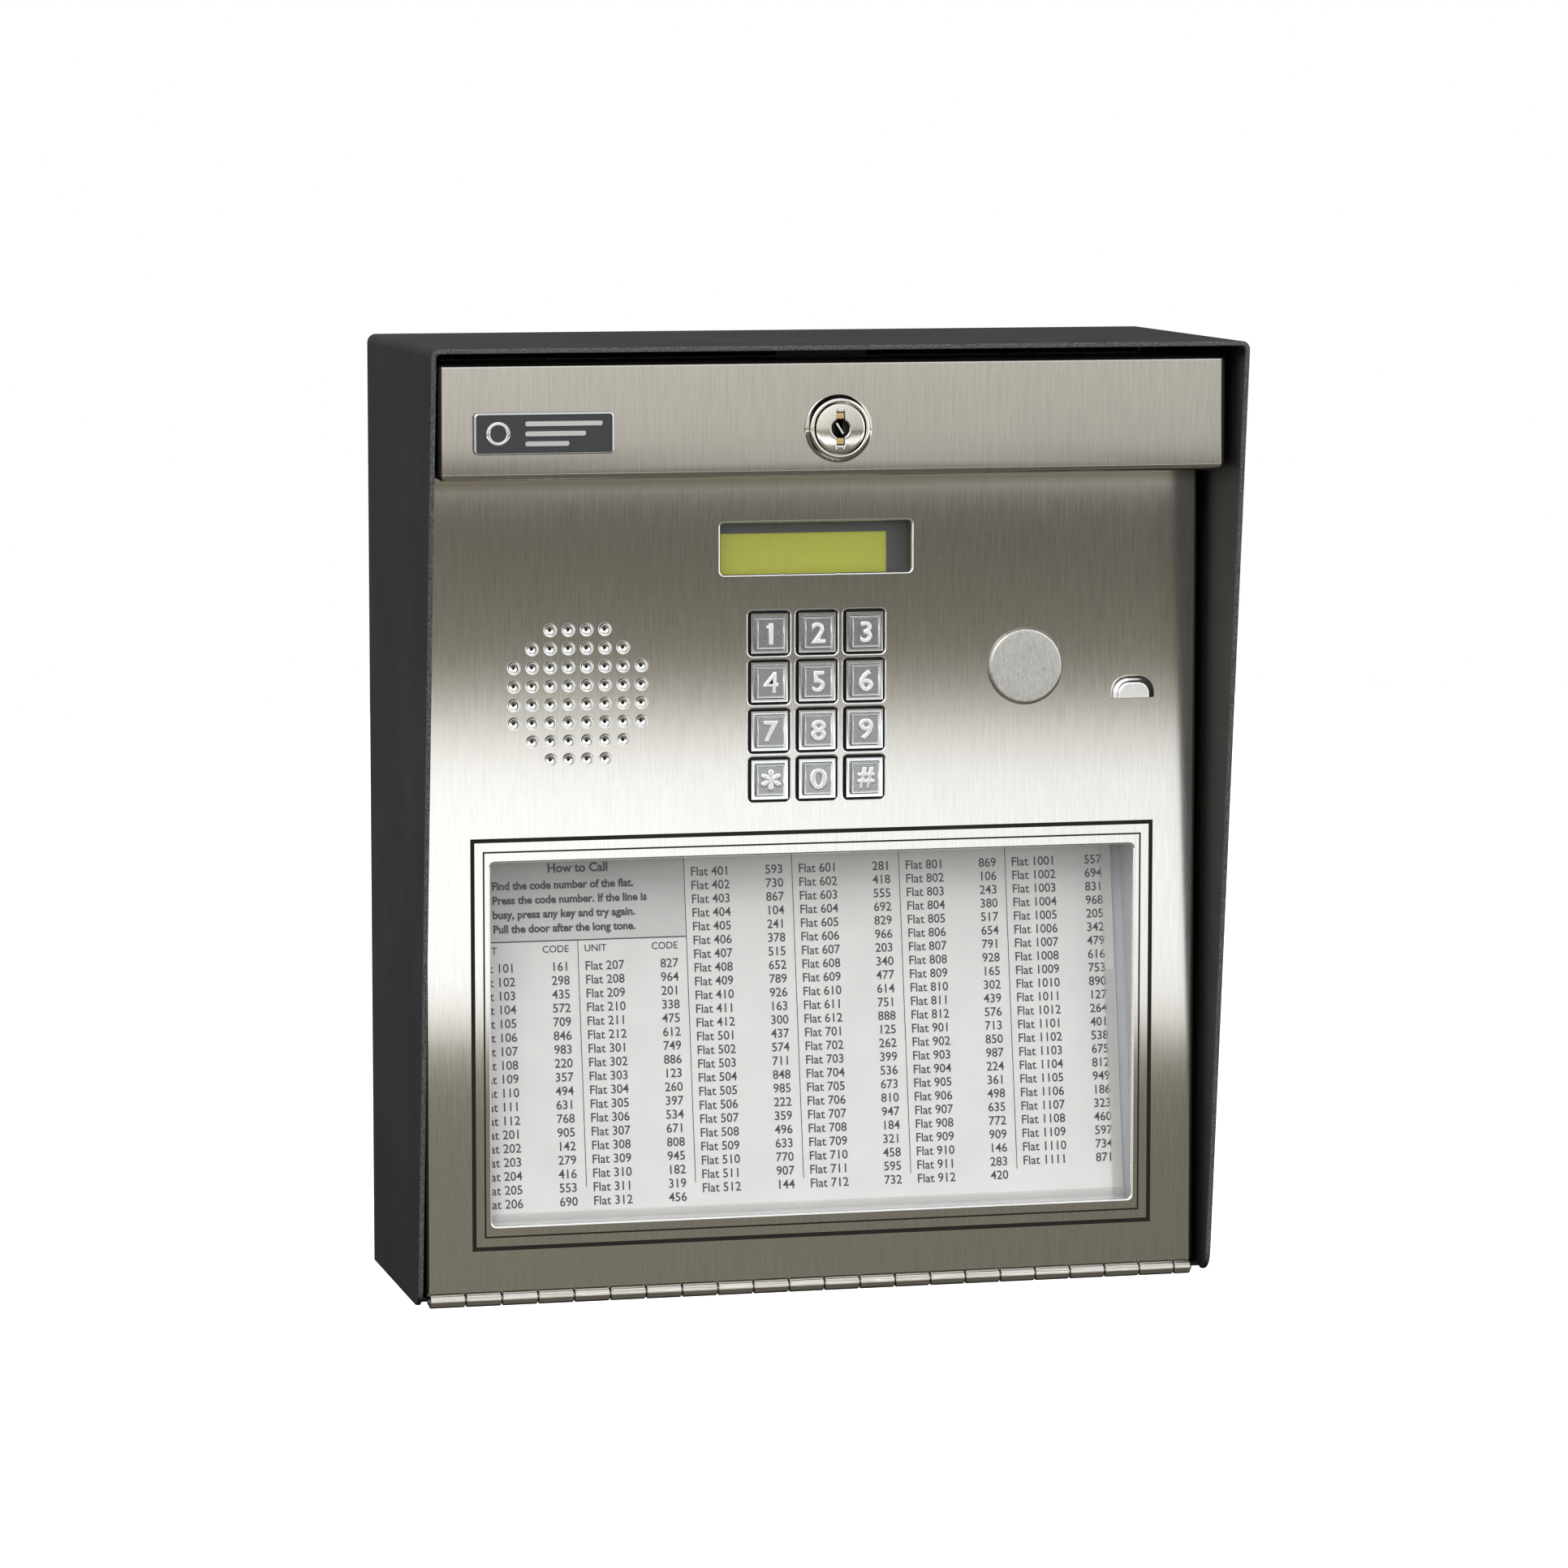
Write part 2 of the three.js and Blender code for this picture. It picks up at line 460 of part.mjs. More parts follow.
const gasketFront = baffleFront + 1 + GAP;
add('speaker_gasket', turned([
  [24, gasketFront], [28.5, gasketFront], [28.5, gasketFront + 2], [24, gasketFront + 2],
  [24, gasketFront],
], SPEAKER.x, SPEAKER.z, 24), FOAM);
const rimFront = gasketFront + 2 + GAP;
const magnetFront = rimFront + 13.5;
add('speaker_frame', turned([
  [25, rimFront], [28.5, rimFront], [28.5, rimFront + 1.2], [25.5, rimFront + 1.2],
  [16, magnetFront - GAP], [12, magnetFront - GAP], [12, magnetFront - 1.2 - GAP],
  [15, magnetFront - 1.2 - GAP], [24.4, rimFront + 1], [25, rimFront],
], SPEAKER.x, SPEAKER.z, 24), BRIGHT_STEEL);
add('speaker_cone', turned([
  [0, rimFront + 5], [7, rimFront + 7], [23.5, rimFront + 0.6], [23.5, rimFront + 1.1],
  [7.5, rimFront + 8], [0, rimFront + 8],
], SPEAKER.x, SPEAKER.z, 24), PAPER_CONE);
add('speaker_magnet', turned([
  [0, magnetFront], [15, magnetFront], [16, magnetFront + 1], [16, magnetFront + 9],
  [15, magnetFront + 10], [0, magnetFront + 10],
], SPEAKER.x, SPEAKER.z, 28), DARK_PLASTIC);

// ---- blanking disc and microphone ---------------------------------------------------------
add('blanking_disc', turned([
  [0, FACE_Y - 1.4], [DISC.r - 0.8, FACE_Y - 1.3], [DISC.r, FACE_Y - 0.9],
  [DISC.r, FACE_Y - GAP], [11.5, FACE_Y - GAP], [11.5, FACE_BACK + 6], [0, FACE_BACK + 6],
], DISC.x, DISC.z, 28), BRIGHT_STEEL);
add('disc_nut', turned([
  [11.8, BEHIND], [15.5, BEHIND], [15.5, BEHIND + 3.5], [11.8, BEHIND + 3.5], [11.8, BEHIND],
], DISC.x, DISC.z, 24), BRIGHT_STEEL);

const MIC = { x: LOUVRE.x, z: LOUVRE.z + 3.2 };
add('mic_boot', turned([
  [5.2, BEHIND], [8, BEHIND], [8, BEHIND + 9], [5.2, BEHIND + 9], [5.2, BEHIND],
], MIC.x, MIC.z, 20), RUBBER);
add('microphone', turned([
  [0, BEHIND + 2.6], [4.5, BEHIND + 2.6], [4.9, BEHIND + 3], [4.9, BEHIND + 9], [0, BEHIND + 9],
], MIC.x, MIC.z, 20), BRIGHT_STEEL);

// ---- directory ----------------------------------------------------------------------------
add('directory_window', sheetBehind(DIRECTORY, 238, 134, BEHIND, LENS, 2), CLEAR);

const trayFront = BEHIND + LENS + GAP;
const cardFoot = { y: trayFront + 1.6, z: DIRECTORY.z - DIRECTORY.h / 2 + 0.4 };
const cardY = (z) => cardFoot.y + (z - cardFoot.z) * CARD_LEAN;
const TRAY = { halfW: 119, halfH: 66, wall: 1.5 };
const TRAY_BOTTOM = DIRECTORY.z - TRAY.halfH;
const TRAY_TOP = DIRECTORY.z + TRAY.halfH;
const trayOuter = polygon([
  [trayFront, TRAY_BOTTOM], [cardY(TRAY_BOTTOM) + 3, TRAY_BOTTOM], [cardY(TRAY_TOP) + 3, TRAY_TOP],
  [trayFront, TRAY_TOP],
]);
const trayHollow = polygon([
  [trayFront - 1, TRAY_BOTTOM + TRAY.wall], [cardY(TRAY_BOTTOM) + 1.4, TRAY_BOTTOM + TRAY.wall],
  [cardY(TRAY_TOP) + 1.4, TRAY_TOP - TRAY.wall], [trayFront - 1, TRAY_TOP - TRAY.wall],
]);
const [trayLeft, trayRight] = [DIRECTORY.x - TRAY.halfW, DIRECTORY.x + TRAY.halfW];
add('directory_tray', acrossX(trayOuter, trayLeft, trayRight)
  .subtract(acrossX(trayHollow, trayLeft + TRAY.wall, trayRight - TRAY.wall)), TRAY_GREY);
const CARD_AREA = { left: -116.9, right: 113.8, low: TRAY_BOTTOM + 2, high: TRAY_TOP - 2 };
const CARD_THICK = 0.8;
add('directory_card', acrossX(polygon([
  [cardY(CARD_AREA.low), CARD_AREA.low], [cardY(CARD_AREA.low) + CARD_THICK, CARD_AREA.low],
  [cardY(CARD_AREA.high) + CARD_THICK, CARD_AREA.high], [cardY(CARD_AREA.high), CARD_AREA.high],
]), CARD_AREA.left, CARD_AREA.right), CARD);

// ---- controller board in the housing --------------------------------------------------------
const BOARD = { x: -10, z: 175, w: 160, h: 120 };
const boardFront = -11.5;
add('main_board', sheetBehind(BOARD, BOARD.w, BOARD.h, boardFront, 1.6, 2), BOARD_GREEN);
[[-1, -1], [1, -1], [-1, 1], [1, 1]].forEach(([sx, sz], i) => {
  const at = { x: BOARD.x + sx * (BOARD.w / 2 - 6), z: BOARD.z + sz * (BOARD.h / 2 - 6) };
  add(`board_standoff_${i + 1}`, turned([
    [0, boardFront + 1.6 + GAP], [3, boardFront + 1.6 + GAP], [3, -HOUSING_WALL - GAP],
    [0, -HOUSING_WALL - GAP],
  ], at.x, at.z, 6), BRIGHT_STEEL);
});
const onBoard = (dx, dz, w, h, tall) => sheetBehind({ x: BOARD.x + dx, z: BOARD.z + dz }, w, h,
  boardFront - GAP - tall, tall, 0.8);
add('terminal_block', onBoard(0, -48, 130, 11, 14), TERMINAL_GREEN);
add('relay_1', onBoard(-45, 30, 19, 15.5, 15), DARK_PLASTIC);
add('relay_2', onBoard(-15, 30, 19, 15.5, 15), DARK_PLASTIC);
add('processor_chip', onBoard(35, 15, 30, 30, 3.5), DARK_PLASTIC);

export default panel;
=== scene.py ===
"""The visible door intercom panel, built round its CAD frame, with a pale studio to show it in.

Metres, +Z up, the visitor's side towards -Y and the wall plane at y = 0. Every piece is modelled at
the place where its CAD node says it is. The sizes and colours that an owner would change are in
the property groups, and each group of like pieces has its own operator in the sidebar panel.
"""
import math

import bmesh
import bpy
from mathutils import Matrix, Vector


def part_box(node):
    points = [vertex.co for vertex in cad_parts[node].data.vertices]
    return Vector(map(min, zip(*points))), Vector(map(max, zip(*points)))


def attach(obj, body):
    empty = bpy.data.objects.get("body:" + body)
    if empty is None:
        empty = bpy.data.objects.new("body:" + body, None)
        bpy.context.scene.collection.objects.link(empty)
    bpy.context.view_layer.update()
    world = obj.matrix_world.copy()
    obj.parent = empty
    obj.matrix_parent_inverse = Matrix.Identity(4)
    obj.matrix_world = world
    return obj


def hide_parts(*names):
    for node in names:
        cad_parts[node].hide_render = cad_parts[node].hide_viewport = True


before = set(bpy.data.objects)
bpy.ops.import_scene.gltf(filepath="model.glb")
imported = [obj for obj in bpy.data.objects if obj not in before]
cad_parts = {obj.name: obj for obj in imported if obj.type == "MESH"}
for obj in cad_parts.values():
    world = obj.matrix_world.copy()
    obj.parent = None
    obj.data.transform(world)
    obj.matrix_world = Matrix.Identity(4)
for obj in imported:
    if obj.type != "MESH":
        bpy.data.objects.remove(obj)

bl_info = {
    "name": "Door Intercom Panel",
    "version": (1, 0, 0),
    "blender": (4, 5, 0),
    "location": "View3D > Sidebar > Intercom",
    "description": "Builds the visible door intercom panel round its CAD frame",
    "category": "Object",
}

MM = 0.001
HALF_TURN = math.pi
QUARTER_TURN = math.pi / 2
FACING = 0.9  # How far a face's normal reaches along an axis to count as facing that way.
KEY_FACES = (
    ("1", "1"), ("2", "2"), ("3", "3"), ("4", "4"), ("5", "5"), ("6", "6"),
    ("7", "7"), ("8", "8"), ("9", "9"), ("star", "*"), ("0", "0"), ("hash", "#"),
)


# ---- settings ----
def length(name, description, millimetres):
    """A length property, shown in the scene's unit."""
    return bpy.props.FloatProperty(
        name=name, description=description, default=millimetres * MM, min=0.0,
        subtype="DISTANCE", unit="LENGTH")


def colour(name, description, value):
    """A colour property."""
    return bpy.props.FloatVectorProperty(
        name=name, description=description, default=value, size=3, min=0.0, max=1.0,
        subtype="COLOR")


class IntercomSizes(bpy.types.PropertyGroup):
    """Sizes that the pieces are modelled from."""

    sheet: length("Door sheet", "Thickness of the stainless door sheet", 1.5)
    housing_wall: length("Housing wall", "Thickness of the black folded housing", 1.6)
    sheet_corner: length("Sheet edge radius", "Radius of the door sheet's folded edges", 1.6)
    strip_edge: length("Strip edge radius", "Radius of the lock strip's rounded edges", 2.2)
    fold_radius: length("Housing fold radius", "Radius of the housing's top folds", 3.0)
    toe_radius: length("Side wall toe radius", "Rounded foot of each side wall", 7.0)
    foot_depth: length("Foot depth", "Depth of the side walls at their foot", 89.7)
    top_flange: length("Strip top flange", "Depth of the lock strip's top flange", 22.1)
    rim_roll: length("Opening rim radius", "How far each opening's edge is rolled over", 0.75)
    display_w: length("Display opening width", "Width of the display opening", 67.5)
    display_h: length("Display opening height", "Height of the display opening", 17.5)
    key_opening_w: length("Key opening width", "Width of one key opening", 14.3)
    key_opening_h: length("Key opening height", "Height of one key opening", 15.0)
    directory_w: length("Directory opening width", "Width of the directory opening", 228.6)
    directory_h: length("Directory opening height", "Height of the directory opening", 125.7)
    border_side: length("Border side margin", "Outer border beside the opening", 7.1)
    border_head: length("Border head margin", "Outer border above the opening", 8.55)
    inner_side: length("Inner side margin", "Inner border beside the opening", 2.8)
    inner_head: length("Inner head margin", "Inner border above the opening", 4.1)
    louvre_w: length("Louvre width", "Width of the microphone louvre", 16.0)
    louvre_h: length("Louvre height", "Height of the microphone louvre", 7.8)
    louvre_rise: length("Microphone rise", "Microphone's height over the louvre's mouth", 3.2)
    grille_dimple: length("Grille dimple radius", "Radius of one speaker hole's dimple", 2.15)
    grille_hole: length("Grille hole radius", "Radius at the bottom of a dimple", 0.65)
    grille_pitch: length("Grille pitch", "Distance between speaker holes", 6.35)
    knuckle: length("Hinge knuckle", "Length of one piano hinge knuckle", 12.7)
    digit_height: length("Digit height", "Height of the raised figure on a key", 7.2)
    digit_round: length("Digit edge", "Rounding of the raised figure's line", 0.42)
    border_line: length("Border line", "Width of the outer printed border", 1.45)
    inner_line: length("Inner border line", "Width of the inner printed border", 0.6)
    row_pitch: length("Directory row pitch", "Distance between rows of print", 4.72)
    print_height: length("Directory print height", "Type size on the directory card", 4.35)


class IntercomColours(bpy.types.PropertyGroup):
    """Base colours of the finishes."""

    powder_coat: colour("Powder coat", "Black textured housing", (0.011, 0.0106, 0.010))
    stainless: colour("Stainless", "Brushed door sheet", (0.66, 0.625, 0.565))
    chrome: colour("Key chrome", "Chromed keys", (0.80, 0.80, 0.79))
    nickel: colour("Lock nickel", "Polished lock", (0.80, 0.76, 0.68))
    disc_steel: colour("Blanking disc", "Satin steel blanking disc", (0.62, 0.60, 0.555))
    badge: colour("Badge", "Charcoal badge ground", (0.030, 0.031, 0.034))
    display: colour("Display", "Yellow-green display", (0.385, 0.405, 0.010))
    bezel: colour("Display bezel", "Grey display surround", (0.046, 0.043, 0.034))
    card: colour("Directory card", "Card stock", (0.86, 0.835, 0.80))
    ink: colour("Print", "Black printing", (0.016, 0.016, 0.016))
    border: colour("Border print", "Printed border lines", (0.018, 0.017, 0.013))
    board: colour("Circuit board", "Solder mask", (0.010, 0.085, 0.030))


# ---- modelling helpers ----
def sizes():
    """The piece sizes in use."""
    return bpy.context.scene.intercom_sizes


def colours():
    """The base colours in use."""
    return bpy.context.scene.intercom_colours


def middle(low, high):
    """The centre of a box."""
    return (Vector(low) + Vector(high)) / 2


def middle_of(node):
    """The centre of a CAD node's box."""
    return middle(*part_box(node))


def clear_selection():
    """Leaves edit mode and deselects everything."""
    if bpy.context.object and bpy.context.object.mode != "OBJECT":
        bpy.ops.object.mode_set(mode="OBJECT")
    bpy.ops.object.select_all(action="DESELECT")


def only(piece):
    """Selects one object and makes it the active one."""
    clear_selection()
    piece.select_set(True)
    bpy.context.view_layer.objects.active = piece


def edit(piece, kind=None):
    """Opens a piece in edit mode, with all its VERT, EDGE or FACE elements selected if named."""
    only(piece)
    bpy.ops.object.mode_set(mode="EDIT")
    if kind:
        bpy.ops.mesh.select_mode(type=kind)
        bpy.ops.mesh.select_all(action="SELECT")


def leave():
    """Leaves edit mode."""
    bpy.ops.object.mode_set(mode="OBJECT")


def named(name):
    """Names the newly added object and gives it an unturned, unscaled frame."""
    piece = bpy.context.object
    bpy.ops.object.transform_apply(location=True, rotation=True, scale=True)
    piece.name = name
    piece.data.name = name
    return piece


def block(name, low, high):
    """A cuboid between two corners."""
    clear_selection()
    bpy.ops.mesh.primitive_cube_add(
        size=1, location=middle(low, high), scale=Vector(high) - Vector(low))
    return named(name)


def plate(name, centre, width, height, corner=0.0, steps=4):
    """A flat rounded rectangle in the x-z plane, facing the visitor."""
    clear_selection()
    bpy.ops.mesh.primitive_plane_add(size=1, location=centre, rotation=(QUARTER_TURN, 0, 0))
    bpy.context.object.scale = (width, height, 1)
    piece = named(name)
    if corner:
        edit(piece, "VERT")
        bpy.ops.mesh.bevel(offset=corner, segments=steps, affect="VERTICES")
        leave()
    return piece


def round_plate(name, centre, radius, sides):
    """A flat disc in the x-z plane, facing the visitor."""
    clear_selection()
    bpy.ops.mesh.primitive_circle_add(
        vertices=sides, radius=radius, fill_type="NGON", location=centre,
        rotation=(QUARTER_TURN, 0, 0))
    return named(name)


def pick(piece, kind, test):
    """In edit mode, selects the VERT, EDGE or FACE elements that pass a test."""
    bpy.ops.mesh.select_mode(type=kind)
    bpy.ops.mesh.select_all(action="DESELECT")
    mesh = bmesh.from_edit_mesh(piece.data)
    elements = {"VERT": mesh.verts, "EDGE": mesh.edges, "FACE": mesh.faces}[kind]
    for element in elements:
        if test(element):
            element.select_set(True)
    mesh.select_flush_mode()
    bmesh.update_edit_mesh(piece.data)


def edge_middle(edge):
    """The middle of an edge."""
    return (edge.verts[0].co + edge.verts[1].co) / 2


def edge_along(edge, axis):
    """True for an edge that runs along an axis (0, 1 or 2)."""
    run = edge.verts[1].co - edge.verts[0].co
    return abs(run[axis]) > 0.999 * run.length


def near(value, target, slack=0.02 * MM):
    """True if two lengths are the same."""
    return abs(value - target) < slack


def tidy_mesh(piece, merge=0.0005 * MM):
    """Merges doubles, then turns every face outwards."""
    edit(piece, "VERT")
    bpy.ops.mesh.remove_doubles(threshold=merge)
    bpy.ops.mesh.normals_make_consistent(inside=False)
    leave()


def use_modifier(piece, kind, **values):
    """Adds a modifier and applies it."""
    only(piece)
    modifier = piece.modifiers.new(kind.title(), kind)
    for name, value in values.items():
        setattr(modifier, name, value)
    bpy.ops.object.modifier_apply(modifier=modifier.name)


def soften(piece, width, segments=2, angle=40):
    """Bevels every edge sharper than an angle."""
    use_modifier(piece, "BEVEL", width=width, segments=segments, limit_method="ANGLE",
                 angle_limit=math.radians(angle), harden_normals=False)


def wall(piece, thickness, side=-1):
    """Gives a shell its thickness, inwards for side -1."""
    use_modifier(piece, "SOLIDIFY", thickness=thickness, offset=side, use_even_offset=True,
                 use_quality_normals=True)


def cut(piece, cutter, operation="DIFFERENCE"):
    """Cuts a piece with another, or joins them, and removes the tool."""
    use_modifier(piece, "BOOLEAN", object=cutter, operation=operation, solver="EXACT")
    bpy.data.objects.remove(cutter)


def merged(name, pieces):
    """Joins several pieces' meshes into one object."""
    clear_selection()
    for piece in pieces:
        piece.select_set(True)
    bpy.context.view_layer.objects.active = pieces[0]
    if len(pieces) > 1:
        bpy.ops.object.join()
    return named(name)


def copy_to(piece, name, offset):
    """A copy with its own mesh, moved by an offset."""
    twin = piece.copy()
    twin.data = piece.data.copy()
    twin.name = name
    twin.data.name = name
    bpy.context.scene.collection.objects.link(twin)
    twin.data.transform(Matrix.Translation(offset))
    return twin


def row_of(first, offsets):
    """A piece and its copies at these offsets, as one object."""
    copies = [copy_to(first, first.name, offset) for offset in offsets]
    return merged(first.name, [first, *copies])


def extrude(distance, rise=0.0):
    """In edit mode, extrudes the selection along y, and up if it rises."""
    bpy.ops.mesh.extrude_region_move(TRANSFORM_OT_translate={"value": (0, distance, rise)})


def inset(inward, move=0.0):
    """In edit mode, insets the selected faces, then moves them along y."""
    bpy.ops.mesh.inset(thickness=inward)
    if move:
        bpy.ops.transform.translate(value=(0, move, 0))


def tilt(piece, degrees, centre):
    """Turns a piece's mesh about an axis along y."""
    edit(piece, "VERT")
    bpy.ops.transform.rotate(value=math.radians(degrees), orient_axis="Y", center_override=centre)
    leave()


def opening_tool(outline, front, depth, roll, steps=4):
    """Makes a hole-cutting tool of a flat outline: straight, with a flare that rolls the rim."""
    edit(outline, "FACE")
    extrude(front - outline.data.vertices[0].co.y)
    for step in range(steps):
        start, end = (QUARTER_TURN * k / steps for k in (step, step + 1))
        inward = roll * (math.sin(end) - math.sin(start))
        deeper = roll * (math.cos(start) - math.cos(end))
        inset(inward, deeper)
    extrude(depth - roll)
    leave()
    tidy_mesh(outline)
    return outline


def turned(name, profile, centre, sides=64, axis="Y"):
    """Spins a profile of (radius, distance along the axis) points round an axis through a centre."""
    clear_selection()
    bpy.ops.mesh.primitive_plane_add(size=1, location=centre)
    piece = named(name)
    edit(piece)
    bpy.ops.mesh.delete(type="VERT")
    mesh = bmesh.from_edit_mesh(piece.data)
    previous = None
    for radius, along in profile:
        place = Vector((radius, along, 0)) if axis == "Y" else Vector((along, radius, 0))
        vert = mesh.verts.new(Vector(centre) + place)
        if previous:
            mesh.edges.new((previous, vert))
        previous = vert
    bmesh.update_edit_mesh(piece.data)
    bpy.ops.mesh.select_all(action="SELECT")
    bpy.ops.mesh.spin(
        steps=sides, angle=2 * HALF_TURN, center=centre,
        axis=(0, 1, 0) if axis == "Y" else (1, 0, 0))
    leave()
    tidy_mesh(piece, merge=0.002 * MM)
    return piece


def text_mesh(name, words, height, thickness=0.0, align="LEFT", spacing=1.0, weight=0.0,
              round_edge=0.0):
    """A line or block of generic lettering as a mesh in the x-z plane, its baseline at the origin."""
    clear_selection()
    bpy.ops.object.text_add(rotation=(QUARTER_TURN, 0, 0))
    settings = {
        "body": words, "size": height, "align_x": align, "space_line": spacing,
        "offset": weight, "resolution_u": 3, "extrude": thickness,
        "bevel_depth": round_edge, "bevel_resolution": 2}
    for setting, value in settings.items():
        setattr(bpy.context.object.data, setting, value)
    bpy.ops.object.convert(target="MESH")
    return named(name)


def wear(piece, *finishes):
    """Gives a piece its finishes, by name."""
    piece.data.materials.clear()
    for name in finishes:
        piece.data.materials.append(finish(name))


def settle(piece, body, slot, *finishes, replaces=(), angle=35, weighted=True):
    """Completes a piece: its finishes, smooth shading and the body that it rides on; the slot
    argument is not used.
    """
    wear(piece, *finishes)
    only(piece)
    bpy.ops.object.shade_smooth_by_angle(angle=math.radians(angle))
    if weighted:
        use_modifier(piece, "WEIGHTED_NORMAL", keep_sharp=True)
    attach(piece, body)
    if replaces:
        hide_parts(*replaces)
    return piece


def paint(piece, index, test):
    """Gives the faces that pass a test another of the piece's materials."""
    for face in piece.data.polygons:
        if test(face):
            face.material_index = index


# ---- material helpers ----
COLOUR_A, COLOUR_B, COLOUR_OUT = 6, 7, 2


def is_output(value):
    """True for a node's output, False for a constant."""
    return isinstance(value, bpy.types.NodeSocket)


def feed(owner, node, inputs):
    """Sets a node's inputs to constants, or links them to other nodes' outputs."""
    for name, value in inputs.items():
        if is_output(value):
            owner.node_tree.links.new(value, node.inputs[name])
        elif value is not None:
            node.inputs[name].default_value = value


def add_node(owner, kind, inputs=None, **settings):
    """Adds a node to a material or a world."""
    node = owner.node_tree.nodes.new(kind)
    for name, value in settings.items():
        setattr(node, name, value)
    feed(owner, node, inputs or {})
    return node


def surface(material, **inputs):
    """Sets or links the Principled shader's inputs: base_color is its Base Color."""
    feed(material, material.node_tree.nodes["Principled BSDF"], {
        name.replace("_", " ").title().replace("Ior", "IOR"): value
        for name, value in inputs.items()})


def new_finish(name, base, roughness, metallic=0.0, **settings):
    """A material whose Principled shader has these constants on its own sockets."""
    material = bpy.data.materials.new(name)
    material.use_nodes = True
    material.diffuse_color = (*base, 1.0)
    surface(material, base_color=(*base, 1.0), roughness=roughness, metallic=metallic, **settings)
    return material


def object_place(material, stretch=(1, 1, 1), turn=(0, 0, 0)):
    """Object coordinates through a Mapping node."""
    coordinates = add_node(material, "ShaderNodeTexCoord")
    return add_node(material, "ShaderNodeMapping", {
        "Vector": coordinates.outputs["Object"], "Scale": stretch, "Rotation": turn,
    }).outputs["Vector"]


def distance_along(owner, axis, place):
    """One axis of a place or a direction."""
    return add_node(owner, "ShaderNodeSeparateXYZ", {"Vector": place}).outputs[axis]


def noise(material, stretch, detail=4.0, rough=0.6, turn=(0, 0, 0)):
    """Noise with features 1/stretch metres across along each axis."""
    if not isinstance(stretch, tuple):
        stretch = (stretch,) * 3
    return add_node(material, "ShaderNodeTexNoise", {
        "Scale": 1.0, "Detail": detail, "Roughness": rough,
        "Vector": object_place(material, stretch, turn)}).outputs["Fac"]


def bricks(material, shades, inputs, **settings):
    """A brick pattern in the x-z plane, in the colours of its two bricks and its mortar."""
    tints = {name: (*shade, 1.0) for name, shade in zip(("Color1", "Color2", "Mortar"), shades)}
    return add_node(material, "ShaderNodeTexBrick", {
        "Vector": object_place(material, turn=(QUARTER_TURN, 0, 0)), **tints, **inputs},
        **settings)


def tones(owner, value, stops):
    """A colour ramp over a value: stops are (position, colour)."""
    ramp = add_node(owner, "ShaderNodeValToRGB", {"Fac": value})
    points = ramp.color_ramp.elements
    points[1].position = stops[-1][0]
    points[1].color = (*stops[-1][1], 1.0)
    points[0].position = stops[0][0]
    points[0].color = (*stops[0][1], 1.0)
    for position, shade in stops[1:-1]:
        points.new(position).color = (*shade, 1.0)
    return ramp.outputs["Color"]


def spread(owner, value, low, high, start=0.3, end=0.7):
    """Maps a value that runs from start to end onto a range of numbers."""
    return add_node(owner, "ShaderNodeMapRange", {
        "Value": value, "From Min": start, "From Max": end, "To Min": low, "To Max": high,
    }).outputs["Result"]


def calculate(owner, operation, first, second):
    """A Math node on two values, each an output or a number."""
    return add_node(owner, "ShaderNodeMath", {0: first, 1: second},
                    operation=operation).outputs["Value"]


def relief(material, height, depth, strength=1.0, under=None):
    """Bump from a height pattern, in metres, over another bump."""
    return add_node(material, "ShaderNodeBump", {
        "Strength": strength, "Distance": depth, "Height": height, "Normal": under,
    }).outputs["Normal"]


def shade_of(base, factor):
    """A colour made lighter or darker."""
    return tuple(min(1.0, channel * factor) for channel in base)


def mixed(material, mask, first, second):
    """One colour over another by a mask: each an output or a colour."""
    first, second = (value if is_output(value) else (*value, 1.0) for value in (first, second))
    return add_node(material, "ShaderNodeMix", {
        "Factor": mask, COLOUR_A: first, COLOUR_B: second}, data_type="RGBA").outputs[COLOUR_OUT]


# ---- finishes ----
def brushed_steel(name, base, grain, low, high, contrast=0.03, shadow_top=None):
    """Steel brushed up and down, with fine streaks, faint clouds and a streaky sheen.

    The last argument is the height of a ledge; under it a band of painted shadow darkens the steel.
    """
    steel = new_finish(name, base, (low + high) / 2, metallic=1.0, anisotropic=1.0)
    streaks = noise(steel, grain, detail=5.0, rough=0.7)
    clouds = noise(steel, (28, 28, 14), detail=2.0)
    streak_tone = tones(steel, streaks, (
        (0.32, shade_of(base, 1 - 1.6 * contrast)), (0.5, base),
        (0.68, shade_of(base, 1 + 1.2 * contrast))))
    shown = mixed(steel, spread(steel, clouds, 0.0, 0.3), streak_tone, shade_of(base, 0.94))
    if shadow_top is not None:
        # Painted shadow: a darker, browner band under the ledge stands in for the ledge's shade on
        # the steel.
        height = distance_along(steel, "Z", object_place(steel))
        painted_shadow = spread(steel, height, 0.0, 0.8, shadow_top - 6 * MM, shadow_top - 3 * MM)
        shown = mixed(steel, painted_shadow, shown, (base[0] * 0.46, base[1] * 0.44, base[2] * 0.33))
    tangent = add_node(steel, "ShaderNodeTangent", direction_type="RADIAL", axis="Z")
    surface(steel, base_color=shown, roughness=spread(steel, streaks, low, high),
            normal=relief(steel, streaks, 0.0012 * MM, 0.3), tangent=tangent.outputs["Tangent"])
    return steel


